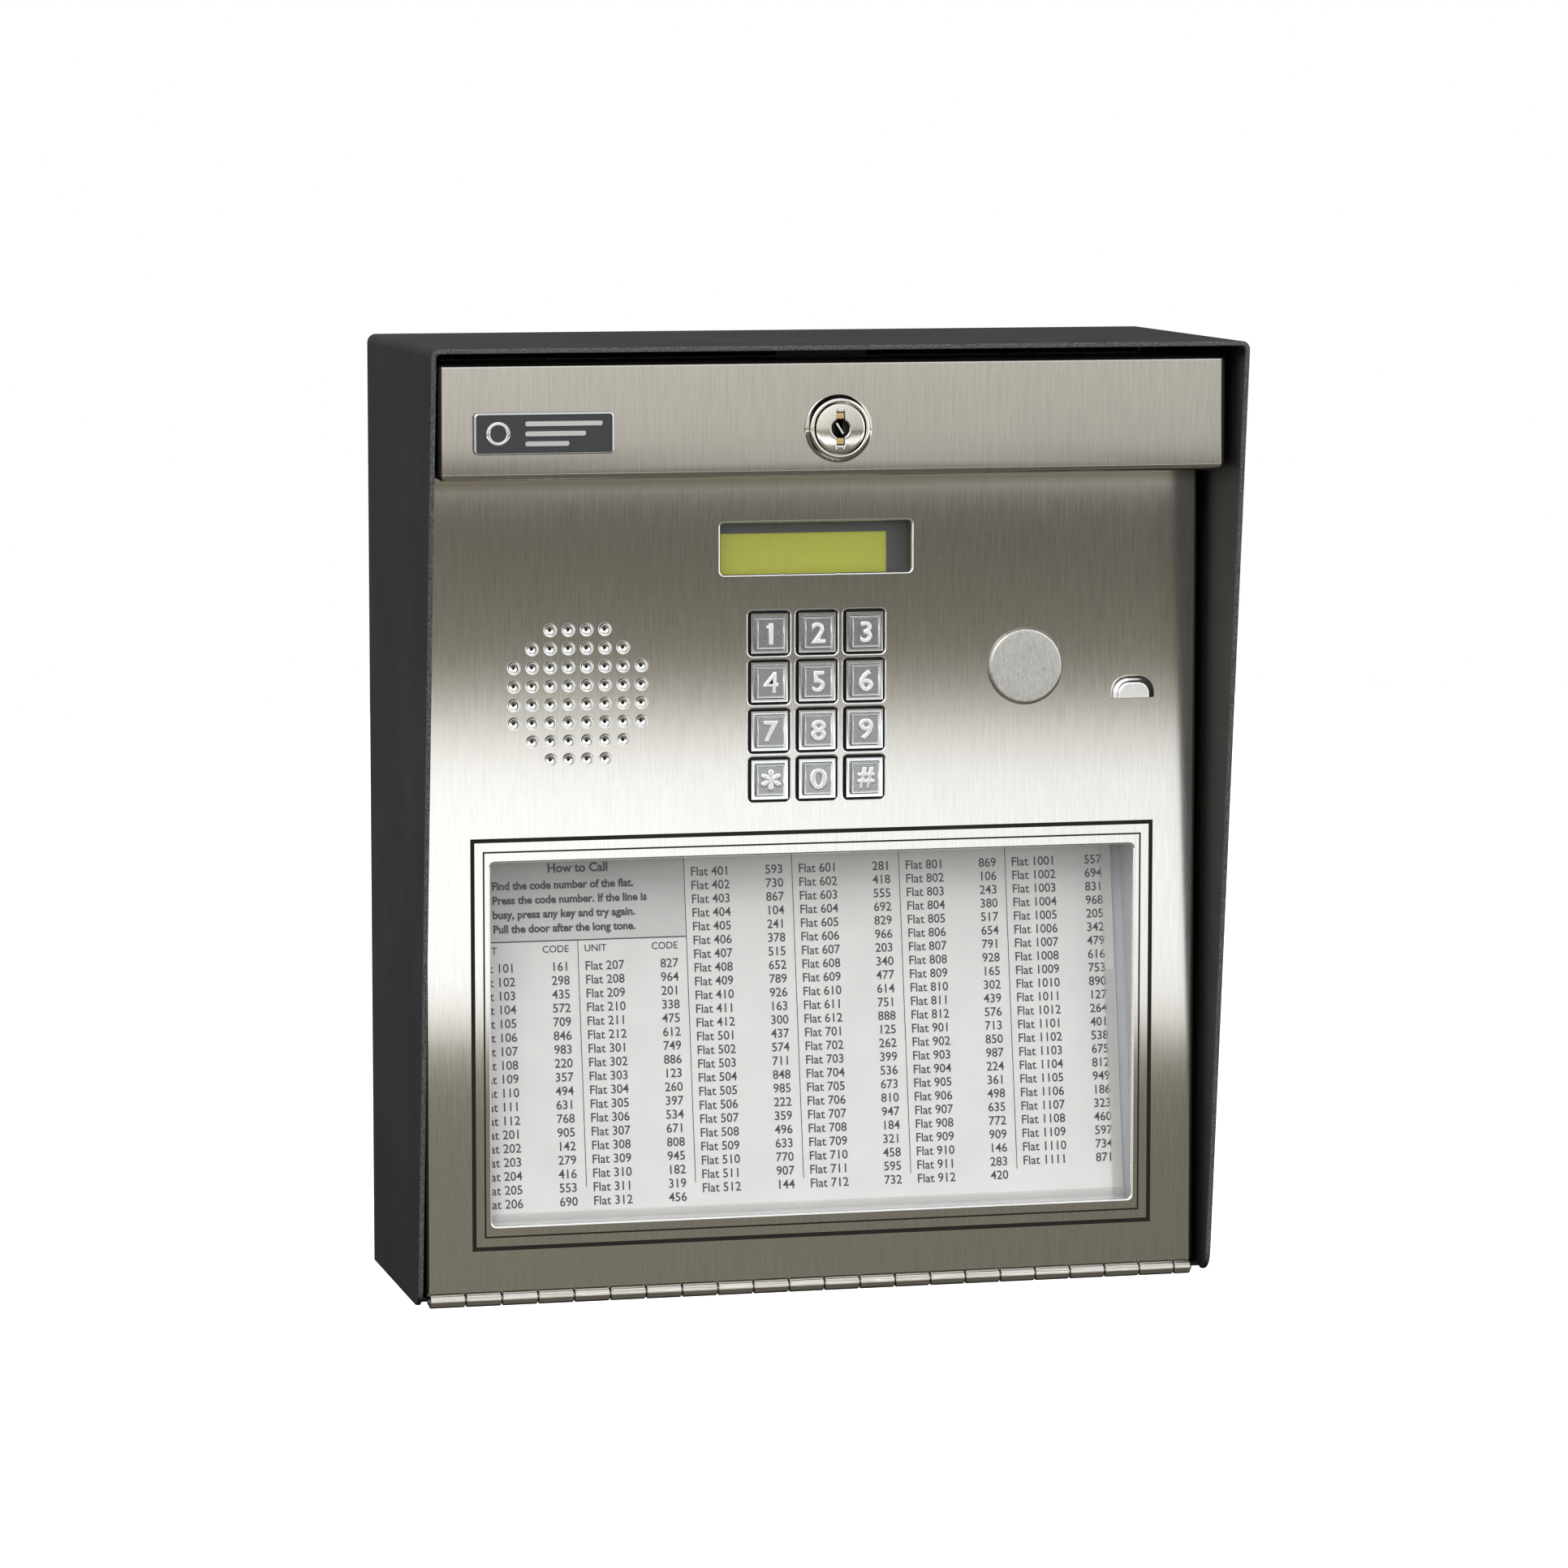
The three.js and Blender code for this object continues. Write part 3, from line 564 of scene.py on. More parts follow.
def plated_metal(name, base, low, high, wave=0.006, scratch=(900, 900, 900), pits=0.0,
                 contrast=0.04):
    """Polished or plated metal: slow waves in the surface, a trace of scratches and dull spots."""
    metal = new_finish(name, base, (low + high) / 2, metallic=1.0)
    waves = noise(metal, 160, detail=2.0)
    fine = noise(metal, scratch, detail=6.0, rough=0.75)
    toned = tones(metal, fine, (
        (0.3, shade_of(base, 1 - 1.5 * contrast)), (0.5, base),
        (0.7, shade_of(base, 1 + contrast))))
    bumps = relief(metal, waves, wave * MM, 0.5)
    if pits:
        bumps = relief(metal, fine, pits * MM, 0.6, under=bumps)
    surface(metal, base_color=toned, roughness=spread(metal, fine, low, high), normal=bumps)
    return metal


def powder_coat(name, base, slope):
    """Fine textured powder coat, rubbed lighter where a thumb or a cloth passes its front edges.

    slope is the side wall's front edge: (y at z = 0, change of y with z).
    """
    coat = new_finish(name, base, 0.5, specular_ior_level=0.35)
    grain = noise(coat, 2600, detail=3.0, rough=0.65)
    peel = noise(coat, 700, detail=2.0)
    clouds = noise(coat, 22, detail=3.0)
    flecks = tones(coat, grain, (
        (0.35, shade_of(base, 0.75)), (0.55, base), (0.66, shade_of(base, 1.7)),
        (0.74, shade_of(base, 4.2))))
    clouded = mixed(coat, spread(coat, clouds, 0.0, 0.5), flecks, shade_of(base, 1.35))
    place = object_place(coat)
    along = calculate(coat, "MULTIPLY", distance_along(coat, "Z", place), slope[1])
    edge_y = calculate(coat, "ADD", along, slope[0])
    inside = calculate(coat, "SUBTRACT", distance_along(coat, "Y", place), edge_y)
    edge = spread(coat, inside, 1.0, 0.0, start=0.3 * MM, end=1.3 * MM)
    rubbed = spread(coat, noise(coat, 1500, detail=4.0, rough=0.8), 0.15, 1.0, 0.42, 0.62)
    worn = calculate(coat, "MULTIPLY", edge, rubbed)
    surface(coat, base_color=mixed(coat, worn, clouded, (0.16, 0.16, 0.165)),
            roughness=spread(coat, clouds, 0.44, 0.52),
            normal=relief(coat, grain, 0.03 * MM, 0.8, under=relief(coat, peel, 0.05 * MM, 0.5)))
    return coat


def soft_solid(name, base, roughness, grain, depth=0.02, contrast=0.12, **settings):
    """Moulded plastic, rubber, foam, paper or paint: a grained, slightly uneven matt surface."""
    solid = new_finish(name, base, roughness, **settings)
    fine = noise(solid, grain, detail=4.0, rough=0.65)
    patches = noise(solid, 60, detail=2.0)
    toned = tones(solid, fine, (
        (0.3, shade_of(base, 1 - contrast)), (0.7, shade_of(base, 1 + contrast))))
    surface(solid,
            base_color=mixed(solid, spread(solid, patches, 0.0, 0.4), toned, shade_of(base, 0.85)),
            roughness=spread(solid, patches, roughness - 0.06, roughness + 0.06),
            normal=relief(solid, fine, depth * MM, 0.6))
    return solid


def circuit_board(name, base):
    """Green solder mask with paler copper tracks and rows of bright pads."""
    board = new_finish(name, base, 0.35, coat_weight=0.3)
    tracks = bricks(board, (base, shade_of(base, 0.8), shade_of(base, 2.3)),
                    {"Scale": 150.0, "Mortar Size": 0.012}, offset=0.37, squash=0.7)
    stains = noise(board, 90, detail=3.0)
    surface(board,
            base_color=mixed(board, spread(board, stains, 0.0, 0.3), tracks.outputs["Color"],
                             shade_of(base, 1.6)),
            roughness=spread(board, stains, 0.28, 0.42),
            normal=relief(board, tracks.outputs["Fac"], 0.04 * MM, 0.5))
    return board


def lit_display(name, base):
    """A backlit character display: even yellow-green with the faint cells of its characters."""
    display = new_finish(name, base, 0.25, emission_strength=0.32, emission_color=(*base, 1.0))
    cells = bricks(display, (base, shade_of(base, 0.97), shade_of(base, 1.06)), {
        "Scale": 1.0, "Brick Width": 3.3 * MM, "Row Height": 6.0 * MM,
        "Mortar Size": 0.12 * MM, "Mortar Smooth": 1.0}, offset=0.0)
    glow = noise(display, 45, detail=3.0)
    surface(display,
            base_color=mixed(display, spread(display, glow, 0.0, 0.5), cells.outputs["Color"],
                             shade_of(base, 0.88)),
            roughness=spread(display, glow, 0.20, 0.32))
    return display


def clear_sheet(name):
    """Thin clear polycarbonate, mostly see-through, with a few hair scratches."""
    clear = new_finish(name, (0.93, 0.95, 0.95), 0.06, alpha=0.04, specular_ior_level=0.45)
    clear.surface_render_method = "BLENDED"
    scratches = noise(clear, (60, 60, 900), detail=6.0, rough=0.8, turn=(0, 0.5, 0))
    surface(clear, roughness=spread(clear, scratches, 0.03, 0.14), base_color=tones(
        clear, scratches, ((0.3, (0.86, 0.88, 0.88)), (0.7, (0.96, 0.97, 0.97)))))
    return clear


def make_finishes():
    """Makes each finish once and returns them by name."""
    shades = {name: tuple(getattr(colours(), name)) for name in IntercomColours.__annotations__}
    housing_low, housing_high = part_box("housing_wrap")
    foot_y, head_y = foot_and_head()
    rise = (head_y - foot_y) / (housing_high.z - housing_low.z)
    slope = (foot_y - rise * housing_low.z, rise)
    brushing = ((2100, 2100, 80), 0.070, 0.086, 0.065)
    return {
        "powder_coat": powder_coat("PowderCoat", shades["powder_coat"], slope),
        "stainless": brushed_steel("BrushedStainless", shades["stainless"], *brushing),
        # The door face gets a painted shadow under the lock strip.
        "face_steel": brushed_steel("BrushedFace", shades["stainless"], *brushing,
                                    shadow_top=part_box("door_face")[1].z),
        # Painted highlight: a brighter copy of the stainless, for the bright rims of the openings and
        # the louvre.
        "highlight_steel": plated_metal(
            "HighlightSteel", (0.95, 0.935, 0.90), 0.14, 0.24, scratch=(900, 900, 60)),
        "hinge_steel": brushed_steel(
            "HingeSteel", shade_of(shades["stainless"], 0.98), (120, 1400, 1400), 0.12, 0.24, 0.1),
        "bright_steel": plated_metal("ZincedSteel", (0.62, 0.62, 0.60), 0.20, 0.38, pits=0.01),
        "disc_steel": plated_metal(
            "SatinDisc", shades["disc_steel"], 0.26, 0.42, scratch=(1300, 1300, 600),
            pits=0.03, contrast=0.16),
        "chrome": plated_metal("KeyChrome", shades["chrome"], 0.04, 0.07, wave=0.004),
        # Painted highlight: the raised figures get a brighter, satin copy of the key chrome so that
        # they read white.
        "figure": plated_metal("KeyFigureHighlight", (1.0, 1.0, 0.99), 0.34, 0.42, wave=0.004),
        # Painted shade: a darker copy of the key chrome for each key's dished front panel.
        "shaded_key_panel": plated_metal("ShadedKeyPanel", shade_of(shades["chrome"], 0.46), 0.08, 0.14,
                                  wave=0.01),
        # Painted shade: a darker copy of the key chrome for the key's side walls, where shade falls.
        "shaded_key_side": plated_metal("ShadedKeySide", shade_of(shades["chrome"], 0.34), 0.10, 0.18),
        "nickel": plated_metal("PolishedNickel", shades["nickel"], 0.05, 0.12, wave=0.02),
        "brass": plated_metal("PinBrass", (0.72, 0.50, 0.22), 0.18, 0.30, pits=0.01),
        "badge": soft_solid("BadgeEnamel", shades["badge"], 0.34, 1800, 0.01, 0.2, coat_weight=0.3),
        "display": lit_display("LitDisplay", shades["display"]),
        "bezel": soft_solid("DisplayBezel", shades["bezel"], 0.5, 1500),
        "clear": clear_sheet("ClearWindow"),
        "board": circuit_board("CircuitBoard", shades["board"]),
        "rubber": soft_solid("BlackRubber", (0.020, 0.020, 0.020), 0.72, 900, 0.03),
        "foam": soft_solid("Foam", (0.030, 0.030, 0.031), 0.9, 700, 0.2, 0.35),
        "cone": soft_solid("SpeakerPaper", (0.022, 0.020, 0.018), 0.85, 1200, 0.05, 0.25),
        "plastic": soft_solid("DarkPlastic", (0.032, 0.034, 0.038), 0.5, 1600),
        "sleeve": soft_solid("ClearSleeve", (0.84, 0.82, 0.78), 0.2, 900, 0.01, 0.03, alpha=0.3),
        # Painted shade: a darkened copy of the zinc plating; on the hinge pin it makes the gaps
        # between the knuckles read dark. The speaker baffle wears it too.
        "zinc_dark": plated_metal("ShadedZinc", (0.20, 0.20, 0.19), 0.3, 0.45, pits=0.01),
        "card": soft_solid("CardStock", shades["card"], 0.8, 1500, 0.01, 0.02),
        "card_grey": soft_solid("CardGreyPanel", shade_of(shades["card"], 0.80), 0.8, 1500,
                                0.01, 0.03),
        "ink": soft_solid("PrintInk", shades["ink"], 0.55, 2400, 0.004, 0.3),
        "border_ink": soft_solid("BorderPrint", shades["border"], 0.6, 2400, 0.004, 0.2,
                                 specular_ior_level=0.15),
        "tray": soft_solid("TrayPaint", (0.60, 0.62, 0.63), 0.5, 900, 0.03, 0.05),
        "terminal": soft_solid("TerminalGreen", (0.028, 0.19, 0.05), 0.45, 1200),
        "dark_hollow": soft_solid("KeywayShadow", (0.012, 0.011, 0.010), 0.6, 900),
    }


FINISHES = {}


def finish(name):
    """A finish by name, made the first time that one is wanted."""
    if not FINISHES:
        FINISHES.update(make_finishes())
    return FINISHES[name]


# ---- sizes shared by the pieces, and places worked out from the frame ----
CLEARANCE = 0.3 * MM
AHEAD = 2 * MM  # How far in front of a surface a cutting tool starts.
# The opening behind the louvre: width, height and corner radius.
LOUVRE_MOUTH = (12.4 * MM, 6.4 * MM, 2.6 * MM)
# The louvre's rings from its rim inwards: how far in, in mm, and what share of its depth forward.
LOUVRE_STEPS = (
    (0.15, 0.10), (0.35, 0.28), (0.75, 0.22), (0.5, 0.03), (0.3, 0.17), (0.35, 0.15), (0.6, 0.05))
DISC_HOLE = 12.3 * MM  # Radius.
LOCK_HOLE = 10.3 * MM  # Radius.
DISPLAY_CORNER = 1.2 * MM
KEY_CORNER = 1.3 * MM
DIRECTORY_CORNER = 1.4 * MM


def foot_and_head():
    """Depth of the side walls' front edge at the foot and at the head."""
    low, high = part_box("housing_wrap")
    return high.y - sizes().foot_depth, low.y


def face_front():
    """The depth of the door face's front."""
    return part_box("keypad_frame")[0].y - CLEARANCE - sizes().sheet


def strip_box():
    """The lock strip without its lap behind the door face."""
    low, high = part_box("lock_strip")
    return Vector((low.x, low.y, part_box("door_face")[1].z + CLEARANCE)), high


def grille_centres():
    """The speaker hole centres: an octagon of rows."""
    centre = middle_of("speaker_magnet")
    rows = (4, 6, 8, 8, 8, 8, 6, 4)
    pitch = sizes().grille_pitch
    for row, count in enumerate(rows):
        for hole in range(count):
            yield (centre.x + (hole - (count - 1) / 2) * pitch,
                   centre.z + ((len(rows) - 1) / 2 - row) * pitch)


# ---- housing ----
class INTERCOM_OT_housing(bpy.types.Operator):
    """The black folded housing with its tapered sides"""

    bl_idname = "intercom.housing"
    bl_label = "Housing"
    bl_options = {"REGISTER", "UNDO"}

    def execute(self, context):
        """Folds the housing from a tapered shell."""
        low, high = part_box("housing_wrap")
        foot_y, head_y = foot_and_head()
        sill_y = middle_of("hinge_pin").y + 3 * MM
        shell = block("Housing", low, high)
        edit(shell)
        pick(shell, "FACE", lambda face: abs(face.normal.y) > FACING)
        bpy.ops.mesh.delete(type="FACE")
        pick(shell, "VERT", lambda vert: near(vert.co.y, low.y) and near(vert.co.z, low.z))
        bpy.ops.transform.translate(value=(0, foot_y - head_y, 0))
        bpy.ops.mesh.select_all(action="SELECT")
        bpy.ops.mesh.bisect(plane_co=(0, sill_y, 0), plane_no=(0, 1, 0))
        pick(shell, "FACE", lambda face: face.normal.z < -FACING
             and face.calc_center_median().y < sill_y)
        bpy.ops.mesh.delete(type="FACE")
        pick(shell, "EDGE", lambda edge: edge_along(edge, 1) and near(edge_middle(edge).z, high.z))
        bpy.ops.mesh.bevel(offset=sizes().fold_radius, segments=6)
        pick(shell, "VERT", lambda vert: near(vert.co.y, foot_y) and near(vert.co.z, low.z))
        bpy.ops.mesh.bevel(offset=sizes().toe_radius, segments=6, affect="VERTICES")
        leave()
        wall(shell, sizes().housing_wall)
        soften(shell, 0.35 * MM)
        settle(shell, "housing", "black_powder_coat", "powder_coat", replaces=("housing_wrap",))
        return {"FINISHED"}


# ---- hinge ----
class INTERCOM_OT_hinge(bpy.types.Operator):
    """The piano hinge: two leaves with rolled knuckles on one pin"""

    bl_idname = "intercom.hinge"
    bl_label = "Piano hinge"
    bl_options = {"REGISTER", "UNDO"}

    def knuckle(self, start, end, seam):
        """One rolled knuckle, with the seam where its sheet meets the leaf."""
        axis = middle_of("hinge_pin")
        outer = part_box("hinge_body_leaf")[1].z - axis.z
        bore, round_off = outer - 0.9 * MM, 0.3 * MM
        tube = turned("Knuckle", (
            (bore, start), (outer - round_off, start), (outer, start + round_off),
            (outer, end - round_off), (outer - round_off, end), (bore, end), (bore, start),
        ), (0, axis.y, axis.z), sides=40, axis="X")
        if seam:
            groove = block("Groove", (start - MM, axis.y - outer - MM, axis.z + 0.9 * MM),
                           (end + MM, axis.y - outer + 0.75 * MM, axis.z + 1.15 * MM))
            cut(tube, groove)
        return tube

    def leaf(self, name, node, first, seam, plate_box, neck_box):
        """A leaf: its plate, and every other knuckle with a neck."""
        axis = middle_of("hinge_pin")
        start, end = (corner.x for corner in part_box("hinge_body_leaf"))
        pitch = sizes().knuckle
        slack = 0.24 * MM
        parts = [block("Plate", *plate_box)]
        full = None
        count = math.ceil((end - start) / pitch)
        for index in range(first, count, 2):
            near_end = start + index * pitch + slack
            far_end = min(start + (index + 1) * pitch, end) - slack
            if far_end - near_end < pitch * 0.9:
                parts.append(self.knuckle(near_end, far_end, seam))
            elif full is None:
                full = self.knuckle(near_end, far_end, seam)
                parts.append(full)
            else:
                along = near_end - (start + first * pitch + slack)
                parts.append(copy_to(full, "Knuckle", (along, 0, 0)))
            neck_low, neck_high = neck_box(axis)
            parts.append(block("Neck", (near_end, *neck_low), (far_end, *neck_high)))
        leaf = merged(name, parts)
        settle(leaf, "door" if first else "housing", "brushed_stainless",
               "hinge_steel", replaces=(node,))

    def execute(self, context):
        """Builds both leaves and the pin."""
        axis = middle_of("hinge_pin")
        body_low, body_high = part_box("hinge_body_leaf")
        door_low, door_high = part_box("hinge_door_leaf")
        radius = body_high.z - axis.z
        thick, lap = 1 * MM, 0.5 * MM
        reach = radius + CLEARANCE
        self.leaf("HingeBodyLeaf", "hinge_body_leaf", 0, False,
                  ((body_low.x, axis.y + reach, body_high.z - thick), body_high),
                  lambda at: ((at.y + lap, body_high.z - thick),
                              (at.y + reach + lap, body_high.z)))
        self.leaf("HingeDoorLeaf", "hinge_door_leaf", 1, True,
                  ((door_low.x, axis.y + radius - thick, axis.z + reach + 0.1 * MM),
                   (door_high.x, axis.y + radius, door_high.z)),
                  lambda at: ((at.y + radius - thick, at.z + lap),
                              (at.y + radius, at.z + reach + lap)))
        pin_low, pin_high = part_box("hinge_pin")
        pin_radius = (pin_high.z - pin_low.z) / 2
        dome = 0.5 * MM
        pin = turned("HingePin", (
            (0, pin_low.x), (pin_radius - dome / 2, pin_low.x), (pin_radius, pin_low.x + dome),
            (pin_radius, pin_high.x - dome), (pin_radius - dome / 2, pin_high.x),
            (0, pin_high.x)), (0, axis.y, axis.z), sides=24, axis="X")
        # Painted shade: the pin is darkened so that the gaps between the knuckles read dark.
        settle(pin, "housing", "bright_steel", "zinc_dark", replaces=("hinge_pin",))
        return {"FINISHED"}


# ---- door face ----
class INTERCOM_OT_door_face(bpy.types.Operator):
    """The stainless door face with its punched openings, louvre and printed border"""

    bl_idname = "intercom.door_face"
    bl_label = "Door face"
    bl_options = {"REGISTER", "UNDO"}

    def opening(self, centre, width, height, corner, roll):
        """The tool for one rounded rectangular opening."""
        front = face_front()
        outline = plate("Opening", (centre.x, front - AHEAD, centre.z), width + 2 * roll,
                        height + 2 * roll, corner + roll)
        return opening_tool(outline, front, sizes().sheet + MM, roll)

    def grille_tool(self):
        """The tool for all of the speaker holes."""
        front = face_front()
        rim, hole, sheet = sizes().grille_dimple, sizes().grille_hole, sizes().sheet
        places = list(grille_centres())
        first = turned("Hole", (
            (0, front - AHEAD), (rim + 0.25 * MM, front - AHEAD),
            (rim + 0.25 * MM, front), (rim - 0.05 * MM, front + 0.07 * MM),
            (rim - 0.25 * MM, front + 0.30 * MM), (rim - 0.45 * MM, front + 0.65 * MM),
            (rim - 0.95 * MM, front + 0.98 * MM), (hole, front + 1.15 * MM),
            (hole, front + sheet + MM), (0, front + sheet + MM),
        ), (places[0][0], 0, places[0][1]), sides=20)
        return row_of(first, [(x - places[0][0], 0, z - places[0][1]) for x, z in places[1:]])

    def key_tool(self):
        """The tool for all of the key openings."""
        width, height = sizes().key_opening_w, sizes().key_opening_h
        centres = [middle_of(f"key_{name}") for name, _ in KEY_FACES]
        first = self.opening(centres[0], width, height, KEY_CORNER, sizes().rim_roll)
        return row_of(first, [(place.x - centres[0].x, 0, place.z - centres[0].z)
                              for place in centres[1:]])

    def display_strokes(self):
        """The display opening as three overlapping punch strokes, which leave small cusps."""
        centre = middle_of("display_window")
        width, height = sizes().display_w, sizes().display_h
        overlap = 0.4 * MM
        left, right = centre.x - width / 2, centre.x + width / 2
        ends = (left, left + 0.32 * width, left + 0.62 * width, right)
        for index in range(3):
            low = ends[index] - (overlap if index else 0)
            high = ends[index + 1] + (overlap if index < 2 else 0)
            yield self.opening(Vector(((low + high) / 2, 0, centre.z)), high - low, height,
                               DISPLAY_CORNER, sizes().rim_roll)

    def execute(self, context):
        """Folds the face, punches it, and adds the louvre and the border."""
        low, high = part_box("door_face")
        front = face_front()
        face = block("DoorFace", (low.x, front, low.z), high)
        edit(face)
        pick(face, "FACE", lambda side: side.normal.y > FACING or abs(side.normal.z) > FACING)
        bpy.ops.mesh.delete(type="FACE")
        pick(face, "EDGE", lambda edge: edge_along(edge, 2) and near(edge_middle(edge).y, front))
        bpy.ops.mesh.bevel(offset=sizes().sheet_corner, segments=5)
        leave()
        wall(face, sizes().sheet)
        cut(face, block("HingeNotch", (low.x - MM, front + sizes().sheet + CLEARANCE,
                                       low.z - MM), (high.x + MM, high.y + MM, low.z + 2 * MM)))
        for stroke in self.display_strokes():
            cut(face, stroke)
        cut(face, self.opening(middle_of("directory_window"), sizes().directory_w,
                               sizes().directory_h, DIRECTORY_CORNER, sizes().rim_roll))
        cut(face, self.key_tool())
        cut(face, self.grille_tool())
        disc = middle_of("blanking_disc")
        hole = round_plate("DiscHole", (disc.x, front - AHEAD, disc.z), DISC_HOLE, 48)
        cut(face, opening_tool(hole, front, sizes().sheet + MM, 0.3 * MM, steps=2))
        microphone = middle_of("microphone")
        width, height, corner = LOUVRE_MOUTH
        mouth = plate("Mouth", (microphone.x, front - AHEAD, self.louvre_base() + height / 2),
                      width, height, corner)
        cut(face, opening_tool(mouth, front, sizes().sheet + MM, 0.2 * MM, steps=1))
        settle(face, "door", "brushed_stainless", "face_steel",
               "highlight_steel", replaces=("door_face",))
        # Painted highlight: the rolled rims of the openings get the brighter steel.
        paint(face, 1, lambda side: abs(side.normal.y) < 0.985 and side.center.y
              < front + 1.25 * MM and abs(side.center.x) < high.x - 4 * MM
              and low.z + 4 * MM < side.center.z < high.z - 4 * MM)
        edit(face)
        pick(face, "FACE", lambda side: side.normal.y < -0.9999
             and near(side.calc_center_median().y, front))
        bpy.ops.mesh.set_normals_from_faces(keep_sharp=True)
        leave()
        self.louvre()
        self.border()
        return {"FINISHED"}

    def louvre_base(self):
        """Height of the louvre's mouth."""
        return middle_of("microphone").z - sizes().louvre_rise

    def louvre(self):
        """The pressed hood over the microphone, open at its foot."""
        centre_x = middle_of("microphone").x
        base = self.louvre_base()
        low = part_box("door_face")[0]
        proud = face_front() - low.y
        width, height = sizes().louvre_w, sizes().louvre_h
        hood = plate("MicLouvre", (centre_x, face_front(), base), width, 2 * height,
                     height * 0.8, steps=8)
        edit(hood, "FACE")
        for inward, share in LOUVRE_STEPS:
            inset(inward * MM, -proud * share)
        bpy.ops.mesh.select_all(action="SELECT")
        bpy.ops.mesh.bisect(plane_co=(0, 0, base), plane_no=(0, 0, 1), clear_inner=True)
        leave()
        wall(hood, 0.8 * MM)
        soften(hood, 0.12 * MM, angle=60)
        # Painted highlight: the whole louvre wears the brighter steel.
        settle(hood, "door", "brushed_stainless", "highlight_steel", angle=70)

    def border(self):
        """The two printed frames round the directory."""
        window = middle_of("directory_window")
        front = face_front()
        parts = []
        for name, side, head, line in (
                ("Outer", sizes().border_side, sizes().border_head, sizes().border_line),
                ("Inner", sizes().inner_side, sizes().inner_head, sizes().inner_line)):
            frame_line = plate(name, (window.x, front, window.z),
                               sizes().directory_w + 2 * side,
                               sizes().directory_h + 2 * head)
            edit(frame_line, "FACE")
            inset(line)
            bpy.ops.mesh.delete(type="FACE")
            leave()
            wall(frame_line, 0.03 * MM, side=1)
            parts.append(frame_line)
        printed = merged("DirectoryBorder", parts)
        settle(printed, "door", "brushed_stainless", "border_ink", weighted=False)


# ---- lock strip and badge ----
class INTERCOM_OT_lock_strip(bpy.types.Operator):
    """The raised stainless strip across the top of the door"""

    bl_idname = "intercom.lock_strip"
    bl_label = "Lock strip"
    bl_options = {"REGISTER", "UNDO"}

    def execute(self, context):
        """Draws the strip from a box, pierces it and adds its lap."""
        low, high = strip_box()
        sheet = sizes().sheet
        strip_back = face_front() + sheet
        strip = block("LockStrip", low, (high.x, strip_back, high.z))
        edit(strip)
        pick(strip, "FACE", lambda face: face.normal.y > FACING)
        bpy.ops.mesh.delete(type="FACE")
        pick(strip, "EDGE", lambda edge: near(edge_middle(edge).y, low.y) or edge_along(edge, 1))
        bpy.ops.mesh.bevel(offset=sizes().strip_edge, segments=6)
        leave()
        wall(strip, sheet)
        cut(strip, block("FlangeCut", (low.x - MM, low.y + sizes().top_flange, low.z + 10 * MM),
                         (high.x + MM, strip_back + MM, high.z + MM)))
        lock = middle_of("lock_body")
        hole = round_plate("LockHole", (lock.x, low.y - AHEAD, lock.z), LOCK_HOLE, 48)
        cut(strip, opening_tool(hole, low.y, sheet + MM, 0.4 * MM, steps=2))
        lap_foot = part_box("lock_strip")[0].z
        inset = 4 * MM
        lap = block("Lap", (low.x + inset, strip_back + CLEARANCE, lap_foot),
                    (high.x - inset, strip_back + CLEARANCE + sheet, low.z + sheet))
        ledge = block("Ledge", (low.x + inset, strip_back - 4 * MM, low.z + 0.02 * MM),
                      (high.x - inset, strip_back + CLEARANCE + 0.5 * MM, low.z + sheet))
        lap_plate = merged("StripLap", [lap, ledge])
        soften(lap_plate, 0.2 * MM)
        settle(lap_plate, "door", "brushed_stainless", "stainless")
        settle(strip, "door", "brushed_stainless", "stainless", replaces=("lock_strip",))
        return {"FINISHED"}


class INTERCOM_OT_badge(bpy.types.Operator):
    """The charcoal badge with a bright rim and a plain raised mark"""

    bl_idname = "intercom.badge"
    bl_label = "Badge"
    bl_options = {"REGISTER", "UNDO"}

    def execute(self, context):
        """Builds the badge plate and its raised mark."""
        low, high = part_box("badge_plate")
        centre = middle(low, high)
        width, height = high.x - low.x, high.z - low.z
        ground = plate("BadgePlate", (centre.x, high.y, centre.z), width, height, 1.5 * MM)
        edit(ground, "FACE")
        extrude(low.y - high.y)
        inset(0.25 * MM, -0.15 * MM)
        inset(0.35 * MM)
        inset(0.15 * MM, 0.35 * MM)
        leave()
        tidy_mesh(ground)
        settle(ground, "door", "badge_charcoal", "badge", "bright_steel", replaces=("badge_plate",))
        paint(ground, 1, lambda side: side.center.y < low.y - 0.05 * MM)
        self.mark(centre, low.y, width, height)
        return {"FINISHED"}

    def mark(self, centre, front, width, height):
        """A ring with three bars beside it: no lettering."""
        parts = []
        ring = turned("Ring", (
            (0.20 * height, front + 0.2 * MM), (0.20 * height, front - 0.2 * MM),
            (0.24 * height, front - 0.32 * MM), (0.29 * height, front - 0.2 * MM),
            (0.29 * height, front + 0.2 * MM), (0.20 * height, front + 0.2 * MM)),
            (centre.x - 0.33 * width, 0, centre.z), sides=40)
        parts.append(ring)
        bar_height = 0.13 * height
        for row, (start, end) in enumerate(((-0.14, 0.42), (-0.14, 0.30), (-0.14, 0.18))):
            z = centre.z + (1 - row) * 0.24 * height
            bar = plate("Bar", (centre.x + (start + end) / 2 * width, front + 0.2 * MM, z),
                        (end - start) * width, bar_height, bar_height * 0.45)
            edit(bar, "FACE")
            extrude(-0.35 * MM)
            inset(0.12 * MM, -0.12 * MM)
            leave()
            tidy_mesh(bar)
            parts.append(bar)
        mark = merged("BadgeMark", parts)
        settle(mark, "door", "badge_charcoal", "chrome")


